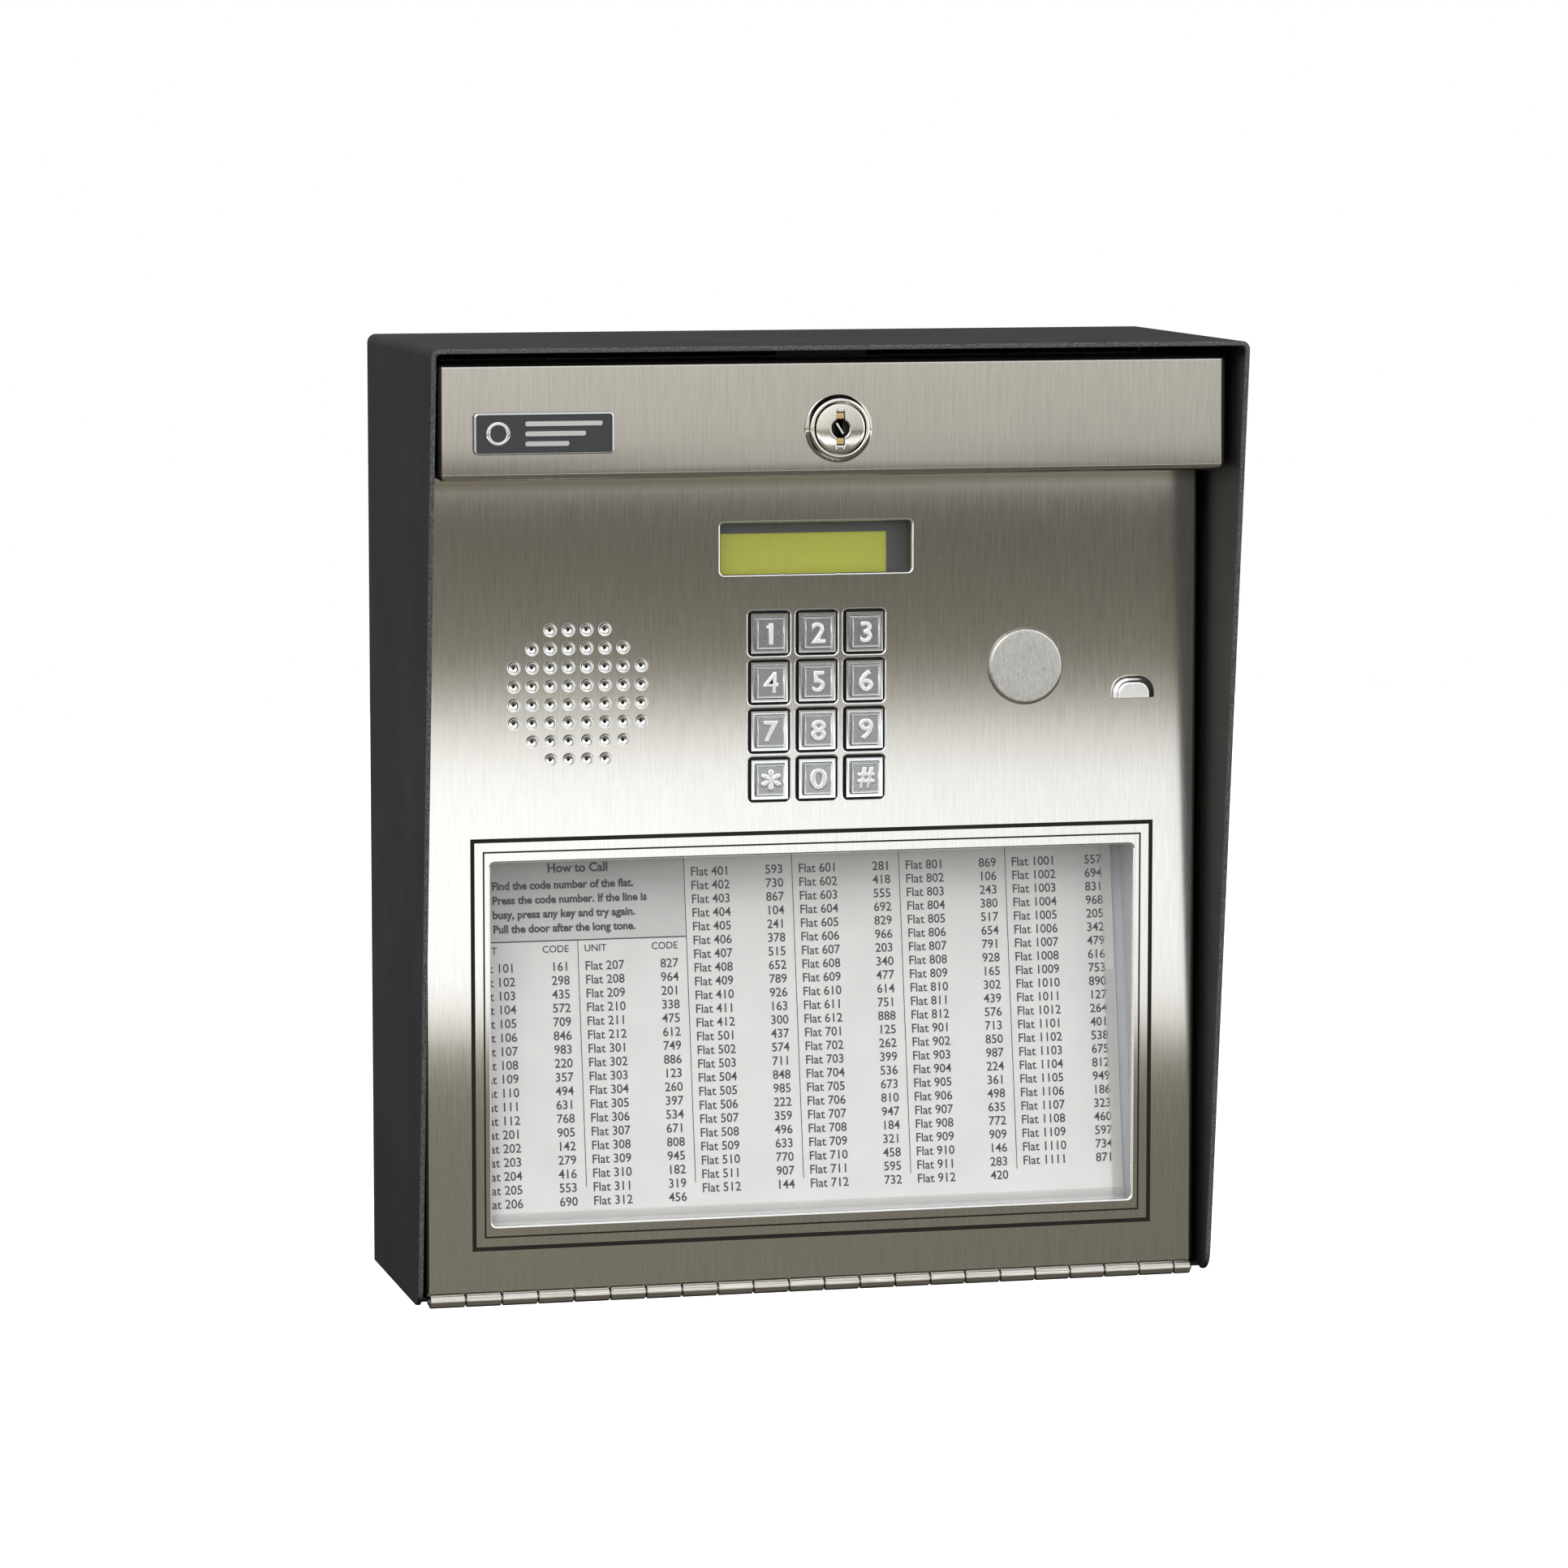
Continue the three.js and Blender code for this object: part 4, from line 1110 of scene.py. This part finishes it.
# ---- lock ----
class INTERCOM_OT_lock(bpy.types.Operator):
    """The cam lock: its ring, its plug with keyway and brass pins"""

    bl_idname = "intercom.lock"
    bl_label = "Cam lock"
    bl_options = {"REGISTER", "UNDO"}

    def execute(self, context):
        """Turns the ring and the plug, and cuts the keyway."""
        strip_front = strip_box()[0].y
        body_low, body_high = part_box("lock_body")
        plug_low, plug_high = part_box("lock_plug")
        centre = middle(body_low, body_high)
        ring_front, ring_r = body_low.y, (body_high.x - body_low.x) / 2
        plug_r = (plug_high.x - plug_low.x) / 2
        bore_r, barrel_r, stud_r = 6.7 * MM, 9.3 * MM, 4 * MM
        shoulder = ring_front + 4.2 * MM
        inner = plug_r + CLEARANCE
        body = turned("LockBody", (
            (inner, ring_front + 0.25 * MM), (inner + 0.15 * MM, ring_front + 0.05 * MM),
            (inner + 0.4 * MM, ring_front), (inner + 1.05 * MM, ring_front + 0.05 * MM),
            (inner + 1.35 * MM, ring_front + 0.3 * MM), (ring_r - 0.75 * MM, ring_front + 1.0 * MM),
            (ring_r - 0.2 * MM, ring_front + 1.8 * MM), (ring_r, ring_front + 2.5 * MM),
            (ring_r, strip_front - CLEARANCE), (barrel_r, strip_front - CLEARANCE),
            (barrel_r, body_high.y), (bore_r + CLEARANCE, body_high.y),
            (bore_r + CLEARANCE, shoulder), (inner, shoulder),
            (inner, ring_front + 0.25 * MM)), (centre.x, 0, centre.z), sides=96)
        settle(body, "door", "polished_nickel", "nickel", replaces=("lock_body",), angle=50)
        plug = turned("LockPlug", (
            (0, plug_low.y - 0.1 * MM), (plug_r * 0.5, plug_low.y - 0.06 * MM),
            (plug_r * 0.85, plug_low.y + 0.06 * MM), (plug_r - 0.3 * MM, plug_low.y + 0.2 * MM),
            (plug_r, plug_low.y + 0.6 * MM), (plug_r, shoulder - CLEARANCE),
            (bore_r, shoulder - CLEARANCE), (bore_r, body_high.y), (stud_r, body_high.y),
            (stud_r, plug_high.y), (0, plug_high.y)), (centre.x, 0, centre.z), sides=96)
        front = plug_low.y
        slot_w, slot_h, recess_r = 3.1 * MM, 11.6 * MM, 3.1 * MM
        slot = plate("Keyway", (centre.x, front - AHEAD, centre.z), slot_w, slot_h, 0.35 * MM)
        cut(plug, opening_tool(slot, front, 9 * MM, 0.15 * MM, steps=2))
        recess = round_plate("Recess", (centre.x, front - AHEAD, centre.z), recess_r + 0.4 * MM, 40)
        cut(plug, opening_tool(recess, front, 3 * MM, 0.4 * MM, steps=3))
        settle(plug, "lock_cylinder", "polished_nickel", "nickel",
               "dark_hollow", replaces=("lock_plug",), angle=45)
        paint(plug, 1, lambda face: face.center.y > front + 1.0 * MM
              and (face.center - Vector((centre.x, face.center.y, centre.z))).length
              < 0.98 * bore_r)
        pins = []
        pin_w, pin_h = slot_w / 2 - 0.12 * MM, 1.15 * MM
        for side in (1, -1):
            pin_z = centre.z + side * (slot_h / 2 - 1.5 * MM)
            pins.append(block("Pin", (centre.x - pin_w, front + 0.5 * MM, pin_z - pin_h),
                              (centre.x + pin_w, front + 4 * MM, pin_z + pin_h)))
        brass = merged("LockPins", pins)
        soften(brass, 0.3 * MM, segments=3)
        settle(brass, "lock_cylinder", "polished_nickel", "brass")
        ward_w, ward_h = 0.35 * MM, 2.2 * MM
        ward = block("Ward", (centre.x - ward_w, front + 1.2 * MM, centre.z - ward_h),
                     (centre.x + ward_w, front + 3 * MM, centre.z + ward_h))
        tilt(ward, 32, (centre.x, front, centre.z))
        soften(ward, 0.15 * MM)
        settle(ward, "lock_cylinder", "polished_nickel", "nickel")
        return {"FINISHED"}


# ---- keypad ----
class INTERCOM_OT_keys(bpy.types.Operator):
    """The twelve chromed keys with raised figures"""

    SKIRT = (13.0 * MM, 13.7 * MM)
    CAP = (9.9 * MM, 10.5 * MM)
    DISH = 0.18 * MM
    CAP_SHARE = 0.73  # A capital's height in the type, as a share of the type size.
    STAR_GROWTH = 1.12
    WIDENED = {"0": 1.25, "8": 1.1, "9": 1.08, "6": 1.08, "#": 0.95}

    bl_idname = "intercom.keys"
    bl_label = "Keys"
    bl_options = {"REGISTER", "UNDO"}

    def blank_key(self):
        """One stepped key without its figure."""
        low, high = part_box("key_1")
        centre = middle(low, high)
        face = face_front()
        flange = 1.2 * MM
        skirt_front, cap_front = face - 0.8 * MM, low.y
        key = block("Key", (low.x, high.y - flange, low.z), high)
        edit(key)
        pick(key, "FACE", lambda side: side.normal.y < -FACING)

        def step_in(width, height, forward):
            """Insets the front face to a size, then draws it forward."""
            inset(0.2 * MM)
            mesh = bmesh.from_edit_mesh(key.data)
            chosen = [face for face in mesh.faces if face.select]
            xs = [vert.co.x for vert in chosen[0].verts]
            zs = [vert.co.z for vert in chosen[0].verts]
            bpy.ops.transform.resize(
                value=(width / (max(xs) - min(xs)), 1, height / (max(zs) - min(zs))),
                center_override=centre)
            if forward:
                extrude(forward)

        cap_w, cap_h = self.CAP
        step_in(*self.SKIRT, skirt_front - (high.y - flange))
        step_in(cap_w + 0.9 * MM, cap_h + 0.9 * MM, 0)
        step_in(cap_w + 0.3 * MM, cap_h + 0.3 * MM, 0)
        bpy.ops.transform.translate(value=(0, 0.25 * MM, 0))
        step_in(cap_w, cap_h, cap_front - skirt_front - 0.25 * MM)
        step_in(cap_w - 0.8 * MM, cap_h - 0.8 * MM, 0)
        step_in(cap_w - 1.1 * MM, cap_h - 1.1 * MM, 0)
        bpy.ops.transform.translate(value=(0, self.DISH, 0))
        leave()
        soften(key, 0.16 * MM, segments=3, angle=30)
        return key

    def figure(self, symbol, centre, front):
        """A raised figure with rounded strokes, centred on its key."""
        height = sizes().digit_height
        raised = text_mesh("Figure", symbol, height / self.CAP_SHARE, thickness=0.20 * MM,
                           weight=0.02 * MM, round_edge=sizes().digit_round)
        corners = [vert.co for vert in raised.data.vertices]
        low = Vector(map(min, zip(*corners)))
        high = Vector(map(max, zip(*corners)))
        size = high - low
        growth = self.STAR_GROWTH * height / size.z if symbol == "*" else 1.0
        widened = growth * self.WIDENED.get(symbol, 1.0)
        raised.data.transform(Matrix.Translation(-middle(low, high)))
        raised.data.transform(Matrix.Diagonal((widened, 1, growth, 1)))
        raised.data.transform(Matrix.Translation((centre.x, front, centre.z)))
        return merged("Figure", [raised, self.flag(centre, front)]) if symbol == "1" else raised

    def flag(self, centre, front):
        """The slanting flag at the head of the figure one."""
        thick, run, head = 1.0 * MM, 2.3 * MM, centre.z + sizes().digit_height / 2
        stroke = block("Flag", (centre.x - run, front - 0.55 * MM, head - thick),
                       (centre.x + 0.2 * MM, front + 0.4 * MM, head + 0.2 * MM))
        tilt(stroke, 38, (centre.x, front, head))
        soften(stroke, 0.3 * MM, segments=3)
        return stroke

    def execute(self, context):
        """Models one key, copies it, and gives each copy its figure."""
        blank = self.blank_key()
        start = middle_of("key_1")
        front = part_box("key_1")[0].y
        gap_back = face_front() + 1.0 * MM
        for name, symbol in KEY_FACES:
            place = middle_of(f"key_{name}")
            key = copy_to(blank, f"Key_{name}", (place.x - start.x, 0, place.z - start.z))
            raised = self.figure(symbol, place, front + 0.1 * MM)
            key = merged(f"Key_{name}", [key, raised])
            settle(key, f"key_{name}", "key_chrome", "chrome", "rubber",
                   "figure", "shaded_key_panel", "shaded_key_side",
                   replaces=(f"key_{name}",), angle=40)
            paint(key, 1, lambda side: side.center.y > gap_back)
            # Painted shade: the side walls of each key's cap take the darker chrome.
            paint(key, 4, lambda side: abs(side.normal.y) < 0.4
                  and front + 0.25 * MM < side.center.y <= gap_back)
            # The figures take the brighter chrome that paints their highlight.
            paint(key, 2, lambda side: side.center.y < front - 0.03 * MM)
            # Painted shade: the dished front panel takes the darker chrome.
            paint(key, 3, lambda side: side.normal.y < -0.99
                  and near(side.center.y, front + self.DISH))
        bpy.data.objects.remove(blank)
        return {"FINISHED"}


# ---- blanking disc and display ----
class INTERCOM_OT_blanking_disc(bpy.types.Operator):
    """The satin disc that closes the spare button hole"""

    bl_idname = "intercom.blanking_disc"
    bl_label = "Blanking disc"
    bl_options = {"REGISTER", "UNDO"}

    def execute(self, context):
        """Turns the disc."""
        low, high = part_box("blanking_disc")
        centre = middle(low, high)
        radius = (high.x - low.x) / 2
        face = face_front()
        shank_r = 11.5 * MM
        disc = turned("BlankingDisc", (
            (0, low.y + 0.08 * MM), (radius * 0.6, low.y + 0.03 * MM),
            (radius - 1.3 * MM, low.y), (radius - 0.7 * MM, low.y + 0.08 * MM),
            (radius - 0.2 * MM, low.y + 0.4 * MM), (radius, face - CLEARANCE - 0.2 * MM),
            (radius - 0.1 * MM, face - CLEARANCE), (shank_r, face - CLEARANCE),
            (shank_r, high.y), (0, high.y)), (centre.x, 0, centre.z), sides=96)
        settle(disc, "door", "bright_steel", "disc_steel", replaces=("blanking_disc",), angle=50)
        return {"FINISHED"}


class INTERCOM_OT_display(bpy.types.Operator):
    """The dark shroud round the display, between its clear window and its bezel"""

    bl_idname = "intercom.display"
    bl_label = "Display"
    bl_options = {"REGISTER", "UNDO"}

    def execute(self, context):
        """Builds the shroud."""
        window_low, window_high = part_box("display_window")
        bezel_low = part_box("lcd_bezel")[0]
        centre = middle(window_low, window_high)
        gap, thick = 0.2 * MM, 1.5 * MM
        width, height = sizes().display_w + 0.4 * MM, sizes().display_h + 3 * MM
        shroud = plate("DisplayShroud", (centre.x, window_high.y + gap, centre.z),
                       width + 2 * thick, height + 2 * thick, 1.6 * MM)
        edit(shroud, "FACE")
        inset(thick)
        bpy.ops.mesh.delete(type="FACE")
        bpy.ops.mesh.select_all(action="SELECT")
        extrude(bezel_low.y - window_high.y - 2 * gap)
        leave()
        tidy_mesh(shroud)
        soften(shroud, 0.2 * MM)
        settle(shroud, "door", "display_bezel", "rubber")
        return {"FINISHED"}


# ---- directory ----
class INTERCOM_OT_directory(bpy.types.Operator):
    """The directory card's generic print: columns of unit names and call codes"""

    bl_idname = "intercom.directory"
    bl_label = "Directory card"
    bl_options = {"REGISTER", "UNDO"}

    COLUMN_PITCH = 38.65 * MM
    COLUMNS = 6
    HEADED_ROWS = 18
    FULL_ROWS = 24
    FLATS_PER_FLOOR = 12
    BOLD, BOLD_HEADING, BOLD_LINES = 0.05 * MM, 0.13 * MM, 0.15 * MM
    PANEL_DEPTH = 30.4 * MM
    HEADING = "How to Call"
    LINES = ("Find the code number of the flat.", "Press the code number. If the line is",
             "busy, press any key and try again.", "Pull the door after the long tone.")

    def on_card(self, piece, x, z, lift):
        """Lays flat print on the leaning card, its origin at x, z."""
        low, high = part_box("directory_card")
        board = 0.8 * MM
        lean = (high.y - board - low.y) / (high.z - low.z)
        piece.data.transform(Matrix.Translation((x, 0, z)))
        for vert in piece.data.vertices:
            vert.co.y += low.y - lift + (vert.co.z - low.z) * lean
        return piece

    def words(self, text, x, z, align="LEFT", height=None, weight=0.0, spacing=1.0):
        """A block of lettering on the card."""
        height = height or sizes().print_height
        lettering = text_mesh("Words", text, height, align=align, weight=weight, spacing=spacing)
        return self.on_card(lettering, x, z, 0.05 * MM)

    def rule(self, x, z, width, height):
        """A printed line or panel centred at x, z."""
        line = plate("Rule", (0, 0, 0), width, height)
        return self.on_card(line, x, z, 0.04 * MM)

    def column(self, left, right, top, rows, first_unit):
        """A column's heading and its rows of unit names and codes."""
        pitch = sizes().row_pitch
        height = sizes().print_height
        spacing = pitch / height
        names, codes = [], []
        for unit in range(first_unit, first_unit + rows):
            floor, door = divmod(unit, self.FLATS_PER_FLOOR)
            names.append(f"Flat {100 * (floor + 1) + door + 1}")
            codes.append(f"{(unit * 137 + 61) % 900 + 100}")
        body_top = top - 1.35 * pitch
        small = 0.78 * height
        return [
            self.words("UNIT", left, top, height=small, weight=0.04 * MM),
            self.words("CODE", right, top, "RIGHT", height=small, weight=0.04 * MM),
            self.words("\n".join(names), left, body_top, weight=self.BOLD, spacing=spacing),
            self.words("\n".join(codes), right, body_top, "RIGHT", weight=self.BOLD,
                       spacing=spacing),
        ]

    def execute(self, context):
        """Prints the instruction panel, six columns and their dividing lines."""
        low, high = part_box("directory_card")
        window = middle_of("directory_window")
        opening_top = window.z + sizes().directory_h / 2
        top = opening_top - 3.3 * MM
        edges = [high.x - self.COLUMN_PITCH * (self.COLUMNS - column)
                 for column in range(self.COLUMNS + 1)]
        panel_foot = opening_top - self.PANEL_DEPTH
        ink = []
        unit = 0
        for index in range(self.COLUMNS):
            left = edges[index] + 2.2 * MM
            right = edges[index + 1] - 3.2 * MM
            headed = index < 2
            start = panel_foot - 4.0 * MM if headed else top
            rows = self.HEADED_ROWS if headed else self.FULL_ROWS
            if index == self.COLUMNS - 1:
                rows -= 1
            ink += self.column(left, right, start, rows, unit)
            unit += rows
            if index:
                line_top = panel_foot if index == 1 else high.z - 1 * MM
                line_foot = low.z + 12 * MM
                ink.append(self.rule(edges[index], (line_top + line_foot) / 2, 0.28 * MM,
                                     line_top - line_foot))
        panel_left, panel_right = low.x + 0.5 * MM, edges[2]
        panel_middle = (panel_left + panel_right) / 2
        ink.append(self.rule(panel_middle, panel_foot, panel_right - panel_left, 0.45 * MM))
        ink.append(self.words(self.HEADING, panel_middle, panel_foot + 23.4 * MM, "CENTER",
                              height=4.3 * MM, weight=self.BOLD_HEADING))
        ink.append(self.words("\n".join(self.LINES), low.x + 7.8 * MM, panel_foot + 17.9 * MM,
                              height=3.75 * MM, weight=self.BOLD_LINES, spacing=1.31))
        printed = merged("DirectoryPrint", ink)
        settle(printed, "door", "card_stock", "ink", weighted=False)
        shade = self.rule(panel_middle, (panel_foot + high.z) / 2, panel_right - panel_left,
                          high.z - panel_foot)
        for vert in shade.data.vertices:
            vert.co.y += 0.02 * MM
        shade.name = "DirectoryPanelTint"
        settle(shade, "door", "card_stock", "card_grey", weighted=False)
        self.holder()
        return {"FINISHED"}

    def holder(self):
        """The clear sleeve that the card slides into: a folded lip at its foot and its side."""
        low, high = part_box("directory_card")
        foot = middle_of("directory_window").z - sizes().directory_h / 2
        lip = block("SleeveFoot", (low.x, low.y - 0.9 * MM, foot + 0.5 * MM),
                    (high.x, low.y - 0.3 * MM, foot + 3.2 * MM))
        soften(lip, 0.2 * MM)
        settle(lip, "door", "clear_window", "sleeve")
        lean = (high.y - low.y) / (high.z - low.z)
        side = block("SleeveSide", (high.x - 4.2 * MM, 0, low.z + 1 * MM),
                     (high.x - 0.4 * MM, 0.4 * MM, high.z - 1 * MM))
        for vert in side.data.vertices:
            vert.co.y += low.y - 0.9 * MM + (vert.co.z - low.z) * lean
        soften(side, 0.15 * MM)
        settle(side, "door", "clear_window", "sleeve")


# ---- parts that keep their CAD shape ----
class INTERCOM_OT_inner_parts(bpy.types.Operator):
    """The parts whose CAD shape is right, each given its finish"""

    bl_idname = "intercom.inner_parts"
    bl_label = "Inner parts"
    bl_options = {"REGISTER", "UNDO"}

    NODE_FINISHES = {
        "powder_coat": ("back_plate", "latch_bracket"),
        "bright_steel": ("lock_cam", "cam_screw", "lock_nut", "disc_nut",
                         "microphone", "speaker_frame", "board_standoff_1",
                         "board_standoff_2", "board_standoff_3", "board_standoff_4"),
        "zinc_dark": ("speaker_baffle",),
        "clear": ("display_window", "directory_window"),
        "bezel": ("lcd_bezel",),
        "display": ("lcd_glass",),
        "board": ("lcd_board", "keypad_board", "main_board"),
        "rubber": ("cable_grommet", "keypad_mat", "mic_boot"),
        "foam": ("speaker_gasket",),
        "cone": ("speaker_cone",),
        "plastic": ("keypad_frame", "speaker_magnet", "relay_1", "relay_2", "processor_chip"),
        "card": ("directory_card",),
        "tray": ("directory_tray",),
        "terminal": ("terminal_block",),
    }

    def execute(self, context):
        """Assigns the finishes, then adds the terminal screws and the chip's legs."""
        for name, nodes in self.NODE_FINISHES.items():
            for node in nodes:
                wear(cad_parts[node], name)
        self.terminal_screws()
        self.chip_legs()
        return {"FINISHED"}

    def terminal_screws(self):
        """A row of slotted screws along the terminal block."""
        low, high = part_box("terminal_block")
        count, radius = 20, 2.1 * MM
        pitch = (high.x - low.x) / count
        place = (low.x + pitch / 2, 0, middle(low, high).z)
        screw = turned("Screw", ((0, low.y - 0.25 * MM), (radius - 0.3 * MM, low.y - 0.25 * MM),
                                 (radius, low.y), (radius, low.y + 0.4 * MM),
                                 (0, low.y + 0.4 * MM)), place, sides=16)
        cut(screw, block("Slot", (place[0] - 3 * MM, low.y - MM, place[2] - 0.3 * MM),
                         (place[0] + 3 * MM, low.y + 0.1 * MM, place[2] + 0.3 * MM)))
        row = row_of(screw, [(pitch * step, 0, 0) for step in range(1, count)])
        settle(merged("TerminalScrews", [row]), "housing", "bright_steel", "bright_steel")

    def chip_legs(self):
        """Four rows of bent legs round the processor."""
        low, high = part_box("processor_chip")
        centre = middle(low, high)
        board_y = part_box("main_board")[0].y
        count, pitch = 16, 1.6 * MM
        leg = block("Leg", (centre.x - 12 * MM, board_y - 1.6 * MM, high.z - 0.2 * MM),
                    (centre.x - 11.5 * MM, board_y - 1.2 * MM, high.z + 0.8 * MM))
        edit(leg)
        pick(leg, "FACE", lambda face: face.normal.z > FACING)
        extrude(1.05 * MM, 0.3 * MM)
        extrude(0.05 * MM, 0.8 * MM)
        leave()
        row = row_of(leg, [(pitch * step, 0, 0) for step in range(1, count)])
        rows = [row]
        for quarter in range(1, 4):
            twin = copy_to(row, "Legs", (0, 0, 0))
            turn = Matrix.Rotation(quarter * QUARTER_TURN, 4, "Y")
            twin.data.transform(Matrix.Translation(centre) @ turn @ Matrix.Translation(-centre))
            rows.append(twin)
        settle(merged("ChipLegs", rows), "housing", "bright_steel", "bright_steel")


# ---- stage ----
class INTERCOM_OT_stage(bpy.types.Operator):
    """A pale floor, soft studio light and the camera"""

    bl_idname = "intercom.stage"
    bl_label = "Studio"
    bl_options = {"REGISTER", "UNDO"}

    # The height of a ray's direction, how bright the studio is there, and how warm (0 to 1).
    BANDS = (
        (-0.300, 0.16, 1.0), (-0.200, 0.26, 1.0), (-0.166, 0.265, 1.0), (-0.1585, 0.34, 1.0),
        (-0.1535, 1.15, 0.3), (-0.149, 1.50, 0.0), (-0.130, 1.55, 0.0), (-0.114, 1.48, 0.0),
        (-0.107, 1.12, 0.2), (-0.101, 0.58, 0.6), (-0.095, 0.27, 1.0), (-0.086, 0.22, 1.0),
        (-0.068, 0.15, 1.0), (-0.0645, 0.66, 0.5), (-0.030, 0.78, 0.5), (0.100, 1.00, 0.1),
        (0.200, 1.00, 0.0),
    )
    COOL_LIGHT = (1.0, 1.04, 1.10)
    WARM_LIGHT = (1.0, 0.955, 0.83)
    BAND_LOW = -0.30
    BAND_HIGH = 0.20
    # Towards the right the studio dims: brightness at the start and the end of a range of x.
    RIGHT_DIMMING = (1.12, 0.84, 0.12, 0.33)
    # Behind the wall it is dim, over this range of y.
    BEHIND_LEVEL = 0.26
    BEHIND_RANGE = (-0.2, 0.15)
    CAMERA_PLACE = (-0.5018, -2.1243, 0.2552)
    CAMERA_PITCH = -0.1154
    CAMERA_YAW = 0.2358
    CAMERA_LENS = 140.8
    FLOOR_HEIGHT = -0.55
    # Each lamp's name, place, target, size, power and tint.
    LAMPS = (
        ("KeyLight", (-1.2, -2.2, 1.5), (0, 0, 0), (1.6, 1.2), 18.0, (1.0, 0.98, 0.95)),
        ("FillLight", (1.6, -1.8, 0.4), (0, 0, -0.05), (1.4, 1.6), 7.0, (0.96, 0.98, 1.0)),
        ("TopLight", (0.0, -0.4, 2.2), (0, 0, 0), (2.0, 1.6), 3.0, (1, 1, 1)),
    )

    def light(self, name, place, target, size, power, tint):
        """A large soft lamp aimed at a point."""
        clear_selection()
        aim = (Vector(target) - Vector(place)).to_track_quat("-Z", "Y").to_euler()
        bpy.ops.object.light_add(type="AREA", location=place, rotation=aim)
        lamp = bpy.context.object
        lamp.name = name
        lamp.data.shape = "RECTANGLE"
        lamp.data.size, lamp.data.size_y = size
        lamp.data.energy = power
        lamp.data.color = tint
        lamp.visible_camera = False

    def surroundings(self):
        """A studio that is bright in soft bands, as a row of lamps and dark gaps is."""
        world = bpy.data.worlds.new("Studio")
        bpy.context.scene.world = world
        world.use_nodes = True
        world.node_tree.nodes.clear()
        scale = max(level for _, level, _ in self.BANDS) * max(self.COOL_LIGHT)
        span = self.BAND_HIGH - self.BAND_LOW
        stops = []
        for at, level, warmth in self.BANDS:
            tint = [cool + (warm - cool) * warmth
                    for cool, warm in zip(self.COOL_LIGHT, self.WARM_LIGHT)]
            shade = tuple(level / scale * channel for channel in tint)
            stops.append(((at - self.BAND_LOW) / span, shade))
        place = add_node(world, "ShaderNodeTexCoord").outputs["Generated"]
        aside, ahead, height = (distance_along(world, axis, place) for axis in "XYZ")
        bands = tones(world, spread(world, height, 0, 1, self.BAND_LOW, self.BAND_HIGH), stops)
        dimmer_right = spread(world, aside, *self.RIGHT_DIMMING)
        dimmer_behind = spread(world, ahead, scale, self.BEHIND_LEVEL * scale, *self.BEHIND_RANGE)
        banded = add_node(world, "ShaderNodeBackground", {
            "Color": bands,
            "Strength": calculate(world, "MULTIPLY", dimmer_right, dimmer_behind)})
        plain = add_node(world, "ShaderNodeBackground", {"Color": (1, 1, 1, 1)})
        seen = add_node(world, "ShaderNodeLightPath").outputs["Is Camera Ray"]
        chosen = add_node(world, "ShaderNodeMixShader", {
            "Fac": seen, 1: banded.outputs["Background"], 2: plain.outputs["Background"]})
        add_node(world, "ShaderNodeOutputWorld", {"Surface": chosen.outputs["Shader"]})

    def execute(self, context):
        """Sets the floor, the light and the camera."""
        clear_selection()
        bpy.ops.mesh.primitive_plane_add(size=8, location=(0, 1.5, self.FLOOR_HEIGHT))
        floor = named("Floor")
        pale = new_finish("PaleFloor", (0.92, 0.92, 0.92), 0.9, emission_strength=0.9,
                          emission_color=(1, 1, 1, 1))
        floor.data.materials.append(pale)
        floor.visible_glossy = False
        floor.visible_diffuse = False
        self.surroundings()
        for lamp in self.LAMPS:
            self.light(*lamp)
        clear_selection()
        bpy.ops.object.camera_add(
            location=self.CAMERA_PLACE,
            rotation=(QUARTER_TURN + self.CAMERA_PITCH, 0, -self.CAMERA_YAW))
        camera = bpy.context.object
        camera.name = "Camera"
        camera.data.lens = self.CAMERA_LENS
        camera.data.sensor_width = 36
        camera.data.clip_end = 50
        scene = bpy.context.scene
        scene.camera = camera
        scene.view_settings.view_transform = "Standard"
        return {"FINISHED"}


# ---- panel and registration ----
STEPS = (
    INTERCOM_OT_housing, INTERCOM_OT_hinge, INTERCOM_OT_door_face, INTERCOM_OT_lock_strip,
    INTERCOM_OT_badge, INTERCOM_OT_lock, INTERCOM_OT_keys, INTERCOM_OT_blanking_disc,
    INTERCOM_OT_display, INTERCOM_OT_directory, INTERCOM_OT_inner_parts, INTERCOM_OT_stage,
)


class VIEW3D_PT_intercom(bpy.types.Panel):
    """The sidebar panel that lists the settings and the building steps"""

    bl_label = "Intercom"
    bl_idname = "VIEW3D_PT_intercom"
    bl_space_type = "VIEW_3D"
    bl_region_type = "UI"
    bl_category = "Intercom"

    def draw(self, context):
        """Lists the settings, then the steps in order."""
        layout = self.layout
        for title, group in (("Sizes", context.scene.intercom_sizes),
                             ("Colours", context.scene.intercom_colours)):
            layout.label(text=title)
            column = layout.column(align=True)
            for name in type(group).__annotations__:
                column.prop(group, name)
        layout.label(text="Build")
        for step in STEPS:
            layout.operator(step.bl_idname)


CLASSES = (IntercomSizes, IntercomColours, *STEPS, VIEW3D_PT_intercom)


def register():
    """Registers the classes and the scene's settings."""
    for entry in CLASSES:
        bpy.utils.register_class(entry)
    bpy.types.Scene.intercom_sizes = bpy.props.PointerProperty(type=IntercomSizes)
    bpy.types.Scene.intercom_colours = bpy.props.PointerProperty(type=IntercomColours)


def unregister():
    """Removes the classes and the scene's settings."""
    del bpy.types.Scene.intercom_colours
    del bpy.types.Scene.intercom_sizes
    for entry in reversed(CLASSES):
        bpy.utils.unregister_class(entry)


def main():
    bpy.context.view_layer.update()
    register()
    for step in STEPS:
        group, name = step.bl_idname.split(".")
        getattr(getattr(bpy.ops, group), name)()


if __name__ == "__main__":
    main()
